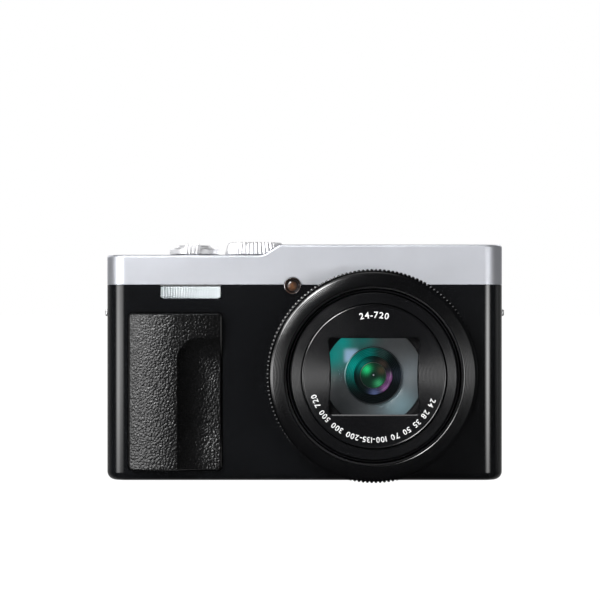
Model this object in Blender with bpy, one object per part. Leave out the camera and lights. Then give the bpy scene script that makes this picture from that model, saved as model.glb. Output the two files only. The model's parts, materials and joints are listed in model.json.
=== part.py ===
"""Compact digital camera with a stacked zoom lens and a flip-up monitor, as an assembly of its pieces.

Metres, +Z up. The lens looks along -Y, and +X is to the right of someone who faces the lens.
The origin is the centre of the base, half way through the body's thickness.
"""

import math

import bmesh
import bpy
from mathutils import Vector

MM = 0.001
GAP = 0.3 * MM
TOUCH = 0.1 * MM
BIG_STEPS = 48
SMALL_STEPS = 20
TINY_STEPS = 12

# Body shells
SIDE_X = 111.5 / 2 * MM
FRONT_Y = -13.75 * MM
REAR_Y = 13.75 * MM
CORNER_RADIUS = 5.5 * MM
CORNER_STEPS = 4
BOTTOM_ROUND = 2.3 * MM
TOP_ROUND = 1.3 * MM
WALL = 1.5 * MM
SIDE_WALL = 2.5 * MM
HOLLOW_CHAMFER = 2.0 * MM
PARTING_Y = -1.0 * MM
SEAM_Z = 54.8 * MM
DECK_Z = 63.3 * MM
RAISED_DECK_Z = 66.2 * MM
SLOPE_START_X = -11.7 * MM
SLOPE_END_X = -7.4 * MM
HOLLOW_RAMP_SHIFT = 6.0 * MM

# Lens, all round one axis
LENS_X = 19.0 * MM
LENS_Z = 29.73 * MM
BASE_TUBE = (24.2 * MM, 25.6 * MM)
BASE_COLLAR_RADIUS = 28.6 * MM
BASE_REAR_Y = 1.0 * MM
RING_RADIUS = 29.45 * MM
RING_FRONT_Y = -25.6 * MM
RING_REAR_Y = -15.2 * MM
RING_CHAMFER = (1.15 * MM, 0.6 * MM)
OUTER_BARREL = (23.2 * MM, 23.9 * MM)
OUTER_BARREL_Y = (-25.2 * MM, 0.5 * MM)
MIDDLE_BARREL = (22.2 * MM, 22.9 * MM)
MIDDLE_LIP_RADIUS = 19.95 * MM
MIDDLE_FRONT_Y = -26.9 * MM
FRONT_BARREL = (19.1 * MM, 19.75 * MM)
GUIDE_Y = (-3.0 * MM, -1.5 * MM)
PLATE_FRONT_Y = -27.65 * MM
PLATE_THICKNESS = 0.8 * MM
WINDOW_HALF_WIDTH = 12.55 * MM
WINDOW_HALF_HEIGHT = 10.55 * MM
BLADE_THICKNESS = 0.3 * MM
BLADE_RADIUS = 18.9 * MM
BLADE_OPEN_EDGE = 10.7 * MM
INNER_BLADE_HEIGHT = 3.9 * MM
OUTER_BLADE_HEIGHT = 7.0 * MM
FRONT_GLASS_RADIUS = 12.4 * MM
RETAINER_HOLE_RADIUS = 12.7 * MM
RETAINER_RADIUS = 18.8 * MM
RETAINER_Y = (-25.6 * MM, -19.8 * MM)
SENSOR_HALF_SIZE = (6.5 * MM, 5.5 * MM)
SENSOR_Y = (2.6 * MM, 4.4 * MM)

# Zoom drive
TOOTH_PITCH_RADIUS = 27.2 * MM
RING_TEETH = 68
SECTOR_TEETH = 24
PINION_TEETH = 10
PINION_ANGLE = math.radians(200)
TOOTH_ADDENDUM = 0.35 * MM
TOOTH_DEDENDUM = 0.6 * MM
SECTOR_LEAD = 4
CAM_RING_Y = (-11.6 * MM, -4.0 * MM)
PINION_Y = (-10.5 * MM, -5.5 * MM)
MOTOR_RADIUS = 3.6 * MM
MOTOR_Y = (-5.2 * MM, 3.4 * MM)

# Grip pad
PAD_LEFT = -49.3 * MM
PAD_RIGHT = -23.2 * MM
PAD_LOW = 3.0 * MM
PAD_HIGH = 47.0 * MM
PAD_BACK_Y = -13.15 * MM
PAD_HUMP = 4.6 * MM
PAD_WALL_X = -35.4 * MM
PAD_RECESS_TOP_Z = 40.1 * MM
PAD_RECESS_RADIUS = 6.0 * MM

# Flash and focus lamp in the front
FLASH_LOW = (-40.3 * MM, 51.1 * MM)
FLASH_HIGH = (-23.6 * MM, 54.4 * MM)
CAPACITOR_AT = (49.8 * MM, -6.0 * MM)
LAMP_X = -3.4 * MM
LAMP_Z = 54.6 * MM
LAMP_BEZEL = (2.0 * MM, 2.4 * MM)

# Top controls
SHUTTER_X = -31.4 * MM
SHUTTER_Y = -4.0 * MM
SHUTTER_RADIUS = 5.3 * MM
LEVER_RADIUS = 7.06 * MM
DIAL_X = -14.2 * MM
DIAL_Y = 2.5 * MM
DIAL_RADIUS = 8.66 * MM
LEVER_TOP_Z = 65.5 * MM
CONTROLS_TOP_Z = 67.1 * MM
BUTTON_ROOT_Z = 60.6 * MM
POWER_AT = (-46.0 * MM, 6.2 * MM)
POWER_RADIUS = 2.7 * MM
MOVIE_AT = (-34.5 * MM, 8.6 * MM)
MOVIE_RADIUS = 2.2 * MM
FLANGE = 0.8 * MM

# Monitor and rear controls
MONITOR_LOW = (-21.5 * MM, 3.0 * MM)
MONITOR_HIGH = (49.5 * MM, 51.5 * MM)
MONITOR_BACK_Y = 10.1 * MM
MONITOR_JOINT_Y = 12.5 * MM
MONITOR_FACE_Y = 13.6 * MM
BEZEL_WIDTH = 1.6 * MM
RECESS_FLOOR_Y = 8.3 * MM
HINGE_Y = 12.5 * MM
HINGE_Z = 53.0 * MM
KNUCKLE_RADIUS = 1.1 * MM
CARRIER_Y = (9.0 * MM, 9.8 * MM)
PAD_CENTRE = (-37.3 * MM, 22.0 * MM)
CONTROL_DIAL = (7.3 * MM, 10.5 * MM)
CURSOR_PAD = (3.4 * MM, 7.0 * MM)
MENU_BUTTON_RADIUS = 3.1 * MM
REAR_ROOT_Y = 11.4 * MM
REAR_BUTTON_RADIUS = 2.3 * MM
THUMB_LOW = (-51.0 * MM, 40.0 * MM)
THUMB_HIGH = (-27.0 * MM, 51.0 * MM)

# Base: battery door, tripod socket and screws
DOOR_LOW = (-52.0 * MM, -11.3 * MM)
DOOR_HIGH = (-17.0 * MM, 2.2 * MM)
DOOR_THICKNESS = 1.8 * MM
DOOR_PIN_RADIUS = 0.3 * MM
LATCH_LOW = (-39.0 * MM, -0.9 * MM)
LATCH_HIGH = (-32.4 * MM, 1.1 * MM)
LATCH_TRAVEL = 2.4 * MM
BATTERY_LOW = (-51.3 * MM, -10.9 * MM, 2.6 * MM)
BATTERY_HIGH = (-17.7 * MM, -2.2 * MM, 44.6 * MM)
CARD_LOW = (-44.0 * MM, -1.7 * MM, 3.0 * MM)
CARD_HIGH = (-20.0 * MM, 0.4 * MM, 35.0 * MM)
BOARD_LOW = (-46.0 * MM, 4.9 * MM, 8.0 * MM)
BOARD_HIGH = (46.0 * MM, 5.9 * MM, 52.0 * MM)
TRIPOD_X = -7.0 * MM
TRIPOD_Y = 3.1 * MM
TRIPOD_RADIUS = 3.6 * MM
TRIPOD_HOLE_RADIUS = 3.1 * MM
SCREW_RADIUS = 1.6 * MM
SCREW_Y = -7.5 * MM
SCREW_PLACES = (("left", -12.0 * MM), ("right", 48.0 * MM))

# Sides: strap lugs and port cover
LUG_LOW_Z = 46.1 * MM
LUG_HIGH_Z = 48.0 * MM
LUG_REACH = 0.65 * MM
LUG_HALF_WIDTH = 3.2 * MM
COVER_LOW = (0.0 * MM, 14.0 * MM)
COVER_HIGH = (7.4 * MM, 36.0 * MM)
COVER_THICKNESS = 1.1 * MM

# Colour, roughness, metallic and alpha of each finish
FINISHES = {
    "silver_paint": ((0.62, 0.64, 0.68), 0.32, 0.6, 1.0),
    "black_paint": ((0.012, 0.013, 0.015), 0.45, 0.0, 1.0),
    "black_plastic": ((0.02, 0.02, 0.022), 0.5, 0.0, 1.0),
    "grip_rubber": ((0.06, 0.06, 0.062), 0.8, 0.0, 1.0),
    "dark_metal": ((0.05, 0.05, 0.055), 0.35, 0.9, 1.0),
    "bright_metal": ((0.7, 0.7, 0.72), 0.25, 1.0, 1.0),
    "clear_glass": ((0.9, 0.95, 0.97), 0.05, 0.0, 0.35),
    "lamp_glass": ((0.35, 0.12, 0.05), 0.1, 0.0, 0.6),
    "circuit_green": ((0.02, 0.16, 0.08), 0.5, 0.0, 1.0),
    "label_grey": ((0.2, 0.2, 0.22), 0.6, 0.0, 1.0),
}


def clear_scene():
    for thing in list(bpy.data.objects):
        bpy.data.objects.remove(thing, do_unlink=True)


def material_for(name, finish):
    colour, roughness, metallic, alpha = FINISHES[finish]
    material = bpy.data.materials.new(name + "_finish")
    material.use_nodes = True
    shader = material.node_tree.nodes["Principled BSDF"]
    shader.inputs["Base Color"].default_value = (*colour, 1.0)
    shader.inputs["Roughness"].default_value = roughness
    shader.inputs["Metallic"].default_value = metallic
    shader.inputs["Alpha"].default_value = alpha
    material.diffuse_color = (*colour, alpha)
    return material


def empty(name, location):
    holder = bpy.data.objects.new(name, None)
    holder.location = location
    bpy.context.scene.collection.objects.link(holder)
    return holder


def new_object(name, shape, origin=(0.0, 0.0, 0.0), holder=None):
    """An object whose mesh is the shape, with its origin at a world point."""
    bmesh.ops.recalc_face_normals(shape, faces=shape.faces)
    bmesh.ops.translate(shape, verts=shape.verts, vec=-Vector(origin))
    mesh = bpy.data.meshes.new(name)
    shape.to_mesh(mesh)
    shape.free()
    mesh.shade_smooth()
    mesh.set_sharp_from_angle(angle=math.radians(35))
    thing = bpy.data.objects.new(name, mesh)
    thing.location = origin
    if holder is not None:
        thing.parent = holder
        thing.location = Vector(origin) - holder.location
    bpy.context.scene.collection.objects.link(thing)
    return thing


def piece(name, shape, finish, origin=(0.0, 0.0, 0.0), holder=None):
    thing = new_object(name, shape, origin, holder)
    thing.data.materials.append(material_for(name, finish))
    return thing


def cutter(name, shape):
    tool = new_object(name, shape)
    tool.hide_render = True
    tool.display_type = "WIRE"
    return tool


def combine(target, tool, operation="DIFFERENCE"):
    modifier = target.modifiers.new(tool.name, "BOOLEAN")
    modifier.operation = operation
    modifier.object = tool


def point_on(axis, first, second, along):
    """A point from its place in the plane square to an axis and its place along that axis."""
    if axis == "X":
        return Vector((along, first, second))
    if axis == "Y":
        return Vector((first, along, second))
    return Vector((first, second, along))


def arc(centre, radius, start, end, steps):
    points = []
    for step in range(steps + 1):
        angle = start + (end - start) * step / steps
        points.append((centre[0] + radius * math.cos(angle), centre[1] + radius * math.sin(angle)))
    return points


def rounded_rectangle(low, high, radius, steps=3):
    quarter = math.pi / 2
    corners = [
        (high[0] - radius, high[1] - radius, 0),
        (low[0] + radius, high[1] - radius, 1),
        (low[0] + radius, low[1] + radius, 2),
        (high[0] - radius, low[1] + radius, 3),
    ]
    points = []
    for first, second, turn in corners:
        points += arc((first, second), radius, turn * quarter, (turn + 1) * quarter, steps)
    return points


def prism(outline, start, end, axis):
    """The outline swept straight along one axis and closed at both ends."""
    shape = bmesh.new()
    corners = [shape.verts.new(point_on(axis, first, second, start)) for first, second in outline]
    face = shape.faces.new(corners)
    swept = bmesh.ops.extrude_face_region(shape, geom=[face])
    moved = [item for item in swept["geom"] if isinstance(item, bmesh.types.BMVert)]
    bmesh.ops.translate(shape, verts=moved, vec=point_on(axis, 0.0, 0.0, end - start))
    return shape


def box(low, high):
    outline = [(low[0], low[1]), (high[0], low[1]), (high[0], high[1]), (low[0], high[1])]
    return prism(outline, low[2], high[2], "Z")


def turned(profile, axis, centre, steps):
    """The (radius, place along the axis) profile spun a full turn about a line through the centre.

    A profile that starts and ends on the axis is a solid, and any other profile is a closed ring.
    """
    shape = bmesh.new()
    points = [point_on(axis, centre[0] + radius, centre[1], along) for radius, along in profile]
    corners = [shape.verts.new(point) for point in points]
    pairs = list(zip(corners, corners[1:]))
    if profile[0][0] > 0.0:
        pairs.append((corners[-1], corners[0]))
    edges = [shape.edges.new(pair) for pair in pairs]
    direction = point_on(axis, 0.0, 0.0, 1.0)
    line_point = point_on(axis, centre[0], centre[1], 0.0)
    bmesh.ops.spin(shape, geom=corners + edges, cent=line_point, axis=direction,
                   angle=2 * math.pi, steps=steps, use_merge=True, use_duplicate=False)
    bmesh.ops.remove_doubles(shape, verts=shape.verts, dist=0.001 * MM)
    return shape


def cylinder(axis, centre, radius, start, end, steps=SMALL_STEPS):
    return turned([(0.0, start), (radius, start), (radius, end), (0.0, end)], axis, centre, steps)


def tube(axis, centre, radii, start, end, steps=BIG_STEPS):
    inner, outer = radii
    return turned([(inner, start), (outer, start), (outer, end), (inner, end)], axis, centre, steps)


def trim(shape, point, normal):
    """Take away what lies on the normal's side of a plane, and cap the cut."""
    everything = shape.verts[:] + shape.edges[:] + shape.faces[:]
    result = bmesh.ops.bisect_plane(shape, geom=everything, plane_co=point, plane_no=normal,
                                    clear_outer=True)
    rim = [item for item in result["geom_cut"] if isinstance(item, bmesh.types.BMEdge)]
    bmesh.ops.edgeloop_fill(shape, edges=rim)


def bevel_edges(shape, chosen, width, segments):
    bmesh.ops.bevel(shape, geom=chosen, offset=width, segments=segments, profile=0.5,
                    affect="EDGES", clamp_overlap=True)


def body_block():
    """The whole body's outer form up to the low deck, with its round bottom edge."""
    outline = rounded_rectangle((-SIDE_X, FRONT_Y), (SIDE_X, REAR_Y), CORNER_RADIUS, CORNER_STEPS)
    shape = prism(outline, 0.0, DECK_Z, "Z")
    bottom = [edge for edge in shape.edges if all(corner.co.z < MM for corner in edge.verts)]
    bevel_edges(shape, bottom, BOTTOM_ROUND, 2)
    trim(shape, (0, 0, SEAM_Z - GAP / 2), (0, 0, 1))
    return shape


def lens_centre():
    return (LENS_X, LENS_Z)


def strap_recess(side):
    """The hollow round a strap lug and the slot for the lug's root."""
    face_x = side * SIDE_X
    depth = 1.6 * MM
    outline = rounded_rectangle((-4.4 * MM, 42.3 * MM), (4.4 * MM, 51.6 * MM), 1.5 * MM, 2)
    hollow = prism(outline, face_x - side * depth, face_x + side * MM, "X")
    slot = box((min(face_x - side * 5 * MM, face_x), -LUG_HALF_WIDTH - GAP, LUG_LOW_Z - GAP),
               (max(face_x - side * 5 * MM, face_x), LUG_HALF_WIDTH + GAP, LUG_HIGH_Z + GAP))
    return hollow, slot


def shared_cutters():
    """Hollows and holes that cross the parting line or the seam, by name."""
    tools = {}
    tools["lens_hole"] = cylinder("Y", lens_centre(), BASE_TUBE[1] + 0.5 * MM,
                                  FRONT_Y - MM, PARTING_Y - 6 * MM, BIG_STEPS)
    tools["lamp_hole"] = cylinder("Y", (LAMP_X, LAMP_Z), LAMP_BEZEL[1] + GAP,
                                  FRONT_Y - MM, FRONT_Y + 4 * MM)
    tools["door_hole"] = box((DOOR_LOW[0] - GAP, DOOR_LOW[1] - GAP, -MM),
                             (DOOR_HIGH[0] + GAP, DOOR_HIGH[1] + GAP, WALL + MM))
    for name, side in (("left", -1), ("right", 1)):
        hollow, slot = strap_recess(side)
        tools["strap_hollow_" + name] = hollow
        tools["strap_slot_" + name] = slot
    return {name: cutter(name + "_tool", shape) for name, shape in tools.items()}


def make_front_case(tools):
    shape = body_block()
    trim(shape, (0, PARTING_Y - GAP / 2, 0), (0, 1, 0))
    case = piece("front_case", shape, "black_paint")
    inner_x = SIDE_X - SIDE_WALL
    inner_y = FRONT_Y + WALL
    cut_x = inner_x - HOLLOW_CHAMFER
    cut_y = inner_y + HOLLOW_CHAMFER
    hollow = [(-inner_x, MM), (-inner_x, cut_y), (-cut_x, inner_y), (cut_x, inner_y),
              (inner_x, cut_y), (inner_x, MM)]
    combine(case, cutter("front_hollow_tool", prism(hollow, WALL, DECK_Z, "Z")))
    pad_hole = box((PAD_LEFT - GAP, FRONT_Y - MM, PAD_LOW - GAP),
                   (PAD_RIGHT + GAP, PAD_BACK_Y + GAP, PAD_HIGH + GAP))
    combine(case, cutter("pad_recess_tool", pad_hole))
    flash_hole = box((FLASH_LOW[0] - GAP, FRONT_Y - MM, FLASH_LOW[1] - GAP),
                     (FLASH_HIGH[0] + GAP, FRONT_Y + 4 * MM, SEAM_Z + MM))
    combine(case, cutter("flash_hole_tool", flash_hole))
    pin_hole = cylinder("X", (DOOR_LOW[1] + DOOR_THICKNESS / 2, DOOR_THICKNESS / 2),
                        DOOR_PIN_RADIUS + 0.1 * MM, DOOR_LOW[0] - 1.2 * MM, DOOR_HIGH[0] + 1.2 * MM,
                        TINY_STEPS)
    combine(case, cutter("door_pin_hole_tool", pin_hole))
    for name, x in SCREW_PLACES:
        hole = cylinder("Z", (x, SCREW_Y), SCREW_RADIUS + GAP, -MM, WALL + MM, TINY_STEPS)
        combine(case, cutter("screw_hole_%s_tool" % name, hole))
    for name in ("lens_hole", "lamp_hole", "door_hole", "strap_hollow_left", "strap_hollow_right",
                 "strap_slot_left", "strap_slot_right"):
        combine(case, tools[name])


def make_rear_case(tools):
    shape = body_block()
    trim(shape, (0, PARTING_Y + GAP / 2, 0), (0, -1, 0))
    case = piece("rear_case", shape, "black_paint")
    inner_x = SIDE_X - SIDE_WALL
    inner_y = REAR_Y - WALL
    floor_y = RECESS_FLOOR_Y - WALL
    step_x = MONITOR_LOW[0] - 0.4 * MM - WALL
    hollow = [(-inner_x, -3 * MM), (inner_x, -3 * MM), (inner_x, floor_y), (step_x, floor_y),
              (step_x, inner_y), (-inner_x + HOLLOW_CHAMFER, inner_y),
              (-inner_x, inner_y - HOLLOW_CHAMFER)]
    combine(case, cutter("rear_hollow_tool", prism(hollow, WALL, DECK_Z, "Z")))
    recess = box((MONITOR_LOW[0] - 0.4 * MM, RECESS_FLOOR_Y, MONITOR_LOW[1] - 0.5 * MM),
                 (MONITOR_HIGH[0] + 0.4 * MM, REAR_Y + MM, SEAM_Z + MM))
    combine(case, cutter("monitor_recess_tool", recess))
    hinge_hole = cylinder("X", (HINGE_Y, HINGE_Z), 0.9 * MM, MONITOR_LOW[0] - 2.0 * MM,
                          MONITOR_HIGH[0] + 2.0 * MM, TINY_STEPS)
    combine(case, cutter("monitor_pin_hole_tool", hinge_hole))
    thumb_hole = rounded_rectangle((THUMB_LOW[0] - GAP, THUMB_LOW[1] - GAP),
                                   (THUMB_HIGH[0] + GAP, THUMB_HIGH[1] + GAP), 3 * MM, 2)
    combine(case, cutter("thumb_recess_tool", prism(thumb_hole, REAR_Y - 0.9 * MM, REAR_Y + MM, "Y")))
    dial_hole = cylinder("Y", PAD_CENTRE, CONTROL_DIAL[1] + 0.4 * MM, inner_y - MM, REAR_Y + MM)
    combine(case, cutter("dial_hole_tool", dial_hole))
    for name, centre in rear_buttons().items():
        hole = cylinder("Y", centre, REAR_BUTTON_RADIUS + GAP, inner_y - MM, REAR_Y + MM, TINY_STEPS)
        combine(case, cutter(name + "_hole_tool", hole))
    cover_hole = rounded_rectangle((COVER_LOW[0] - GAP, COVER_LOW[1] - GAP),
                                   (COVER_HIGH[0] + GAP, COVER_HIGH[1] + GAP), 0.8 * MM, 2)
    combine(case, cutter("cover_hole_tool", prism(cover_hole, -SIDE_X - MM, -inner_x + MM, "X")))
    socket_hole = cylinder("Z", (TRIPOD_X, TRIPOD_Y), TRIPOD_RADIUS + GAP, -MM, WALL + MM)
    combine(case, cutter("socket_hole_tool", socket_hole))
    for name in ("door_hole", "strap_hollow_left", "strap_hollow_right", "strap_slot_left",
                 "strap_slot_right"):
        combine(case, tools[name])


def deck_block(inset, low_z, drop, ramp_shift):
    """The top cover's form: a low deck on the left that ramps up to a raised deck on the right."""
    outline = rounded_rectangle((-SIDE_X + inset, FRONT_Y + inset), (SIDE_X - inset, REAR_Y - inset),
                                CORNER_RADIUS - inset, CORNER_STEPS)
    shape = prism(outline, low_z, DECK_Z - drop, "Z")
    for x in (SLOPE_START_X + ramp_shift, SLOPE_END_X + ramp_shift):
        everything = shape.verts[:] + shape.edges[:] + shape.faces[:]
        bmesh.ops.bisect_plane(shape, geom=everything, plane_co=(x, 0, 0), plane_no=(1, 0, 0))
    for corner in shape.verts:
        if corner.co.x > SLOPE_END_X + ramp_shift - TOUCH and corner.co.z > DECK_Z - drop - TOUCH:
            corner.co.z = RAISED_DECK_Z - drop
    return shape


def make_top_cover(tools):
    shape = deck_block(0.0, SEAM_Z + GAP / 2, 0.0, 0.0)
    bmesh.ops.recalc_face_normals(shape, faces=shape.faces)
    rim = []
    for edge in shape.edges:
        up = [face for face in edge.link_faces if face.normal.z > 0.7]
        if len(up) == 1 and edge.calc_face_angle() > math.radians(60):
            rim.append(edge)
    bevel_edges(shape, rim, TOP_ROUND, 2)
    cover = piece("top_cover", shape, "silver_paint")
    combine(cover, cutter("top_hollow_tool", deck_block(WALL, SEAM_Z - MM, WALL, HOLLOW_RAMP_SHIFT)))
    pocket = cylinder("Z", (DIAL_X, DIAL_Y), DIAL_RADIUS + 0.6 * MM, DECK_Z, RAISED_DECK_Z + MM,
                      BIG_STEPS)
    combine(cover, cutter("dial_pocket_tool", pocket))
    holes = {
        "dial_shaft": ((DIAL_X, DIAL_Y), 2.8 * MM),
        "shutter": ((SHUTTER_X, SHUTTER_Y), 4.3 * MM),
        "power": (POWER_AT, POWER_RADIUS + GAP),
        "movie": (MOVIE_AT, MOVIE_RADIUS + GAP),
    }
    for name, (centre, radius) in holes.items():
        hole = cylinder("Z", centre, radius, DECK_Z - WALL - MM, RAISED_DECK_Z + MM)
        combine(cover, cutter(name + "_hole_tool", hole))
    combine(cover, tools["lens_hole"])
    combine(cover, tools["lamp_hole"])


def smooth_step(value, low, high):
    share = min(max((value - low) / (high - low), 0.0), 1.0)
    return share * share * (3.0 - 2.0 * share)


def pad_height(x, z):
    """How far the grip pad stands out of the case's front: a hump with a finger recess beside it."""
    across = x - PAD_WALL_X
    below = PAD_RECESS_TOP_Z - z
    if across < PAD_RECESS_RADIUS and below < PAD_RECESS_RADIUS:
        corner = math.hypot(PAD_RECESS_RADIUS - across, PAD_RECESS_RADIUS - below)
        inside = PAD_RECESS_RADIUS - corner
    else:
        inside = min(across, below)
    floor = 0.5 * MM + 1.3 * MM * smooth_step(across, 0.0, PAD_RIGHT - PAD_WALL_X)
    crest = PAD_HUMP * smooth_step(x, PAD_LEFT - 2 * MM, PAD_LEFT + 9 * MM)
    crest *= 1.0 - 0.6 * smooth_step(x, PAD_WALL_X + 3 * MM, PAD_RIGHT)
    crest *= smooth_step(PAD_HIGH + 2.5 * MM - z, 0.0, 7 * MM)
    share = smooth_step(inside, -0.8 * MM, 1.0 * MM)
    return max(crest * (1.0 - share) + floor * share, 0.4 * MM)


def make_grip_pad():
    columns = 14
    rows = 16
    shape = bmesh.new()
    bmesh.ops.create_grid(shape, x_segments=columns, y_segments=rows, size=0.5)
    for corner in shape.verts:
        x = PAD_LEFT + (corner.co.x + 0.5) * (PAD_RIGHT - PAD_LEFT)
        z = PAD_LOW + (corner.co.y + 0.5) * (PAD_HIGH - PAD_LOW)
        corner.co = (x, FRONT_Y - pad_height(x, z), z)
    swept = bmesh.ops.extrude_face_region(shape, geom=shape.faces[:])
    for item in swept["geom"]:
        if isinstance(item, bmesh.types.BMVert):
            item.co.y = PAD_BACK_Y
    piece("grip_pad", shape, "grip_rubber")


def make_flash():
    glass = rounded_rectangle(FLASH_LOW, FLASH_HIGH, 0.7 * MM, 2)
    piece("flash_window", prism(glass, FRONT_Y, FRONT_Y + 1.3 * MM, "Y"), "clear_glass")
    middle_z = (FLASH_LOW[1] + FLASH_HIGH[1]) / 2
    back_y = FRONT_Y + 6.3 * MM
    front_y = FRONT_Y + 1.7 * MM
    trough = [(front_y, middle_z - 2.2 * MM), (back_y, middle_z - 2.2 * MM),
              (back_y, middle_z + 2.2 * MM), (front_y, middle_z + 2.2 * MM),
              (front_y, middle_z + 1.8 * MM), (back_y - 1.5 * MM, middle_z + 1.2 * MM),
              (back_y - 0.6 * MM, middle_z), (back_y - 1.5 * MM, middle_z - 1.2 * MM),
              (front_y, middle_z - 1.8 * MM)]
    piece("flash_reflector", prism(trough, FLASH_LOW[0] + 0.6 * MM, FLASH_HIGH[0] - 0.6 * MM, "X"),
          "bright_metal")
    piece("flash_tube", cylinder("X", (back_y - 1.9 * MM, middle_z), 0.6 * MM,
                                 FLASH_LOW[0] - MM, FLASH_HIGH[0] + MM, TINY_STEPS), "clear_glass")
    piece("flash_capacitor", cylinder("Z", CAPACITOR_AT, 3.2 * MM, 4.0 * MM, 22.0 * MM), "black_plastic")


def make_focus_lamp():
    centre = (LAMP_X, LAMP_Z)
    piece("focus_lamp_bezel", tube("Y", centre, LAMP_BEZEL, FRONT_Y - 0.3 * MM, FRONT_Y + 1.8 * MM,
                                   SMALL_STEPS), "bright_metal")
    front = FRONT_Y - 0.05 * MM
    lens = [(0.0, front - 0.1 * MM), (1.0 * MM, front), (1.8 * MM, front + 0.3 * MM),
            (1.8 * MM, front + 1.7 * MM), (0.0, front + 1.7 * MM)]
    piece("focus_lamp_window", turned(lens, "Y", centre, SMALL_STEPS), "lamp_glass")


def make_strap_lugs():
    for name, side in (("left", -1), ("right", 1)):
        tip = side * (SIDE_X + LUG_REACH)
        root = side * (SIDE_X - 4.4 * MM)
        low = (min(tip, root), -LUG_HALF_WIDTH, LUG_LOW_Z)
        high = (max(tip, root), LUG_HALF_WIDTH, LUG_HIGH_Z)
        lug = piece("strap_lug_" + name, box(low, high), "bright_metal")
        eye_x = side * (SIDE_X - 0.4 * MM)
        eye = rounded_rectangle((eye_x - 0.8 * MM, -2.2 * MM), (eye_x + 0.6 * MM, 2.2 * MM), 0.5 * MM, 2)
        tool = prism(eye, LUG_LOW_Z - MM, LUG_HIGH_Z + MM, "Z")
        combine(lug, cutter("lug_eye_%s_tool" % name, tool))


def make_shutter(centre):
    root_z = 60.5 * MM
    skirt_z = 64.6 * MM
    button = [(0.0, root_z), (4.0 * MM, root_z), (4.0 * MM, skirt_z), (SHUTTER_RADIUS, skirt_z),
              (SHUTTER_RADIUS, 66.0 * MM), (4.6 * MM, 66.5 * MM), (3.0 * MM, 66.8 * MM), (0.0, 66.9 * MM)]
    piece("shutter_button", turned(button, "Z", centre, SMALL_STEPS), "silver_paint", (*centre, DECK_Z))


def make_zoom_lever(centre):
    bottom = DECK_Z + GAP
    ring = tube("Z", centre, (SHUTTER_RADIUS + GAP, LEVER_RADIUS), bottom, LEVER_TOP_Z, 32)
    lever = piece("zoom_lever", ring, "silver_paint", (*centre, DECK_Z))
    finger = rounded_rectangle((SHUTTER_X - 2.6 * MM, SHUTTER_Y - 9.0 * MM),
                               (SHUTTER_X + 1.6 * MM, SHUTTER_Y - 6.0 * MM), 0.6 * MM, 2)
    tool = cutter("lever_finger_tool", prism(finger, bottom, CONTROLS_TOP_Z, "Z"))
    combine(lever, tool, "UNION")


def make_mode_dial(centre):
    root_z = 60.0 * MM
    bottom = DECK_Z + GAP
    shaft = 2.5 * MM
    dial = [(0.0, root_z), (shaft, root_z), (shaft, bottom), (DIAL_RADIUS, bottom),
            (DIAL_RADIUS - 0.15 * MM, 66.4 * MM), (DIAL_RADIUS - 0.8 * MM, CONTROLS_TOP_Z),
            (0.0, CONTROLS_TOP_Z)]
    piece("mode_dial", turned(dial, "Z", centre, 40), "silver_paint", (*centre, DECK_Z))


def make_top_controls():
    make_shutter((SHUTTER_X, SHUTTER_Y))
    make_zoom_lever((SHUTTER_X, SHUTTER_Y))
    make_mode_dial((DIAL_X, DIAL_Y))
    face_z = DECK_Z - 0.1 * MM
    flange_z = BUTTON_ROOT_Z + FLANGE
    for name, centre, radius in (("power_button", POWER_AT, POWER_RADIUS),
                                 ("movie_button", MOVIE_AT, MOVIE_RADIUS)):
        flange = radius + FLANGE
        profile = [(0.0, BUTTON_ROOT_Z), (flange, BUTTON_ROOT_Z), (flange, flange_z), (radius, flange_z),
                   (radius, face_z), (0.0, face_z)]
        piece(name, turned(profile, "Z", centre, SMALL_STEPS), "silver_paint", (*centre, DECK_Z))


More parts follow.
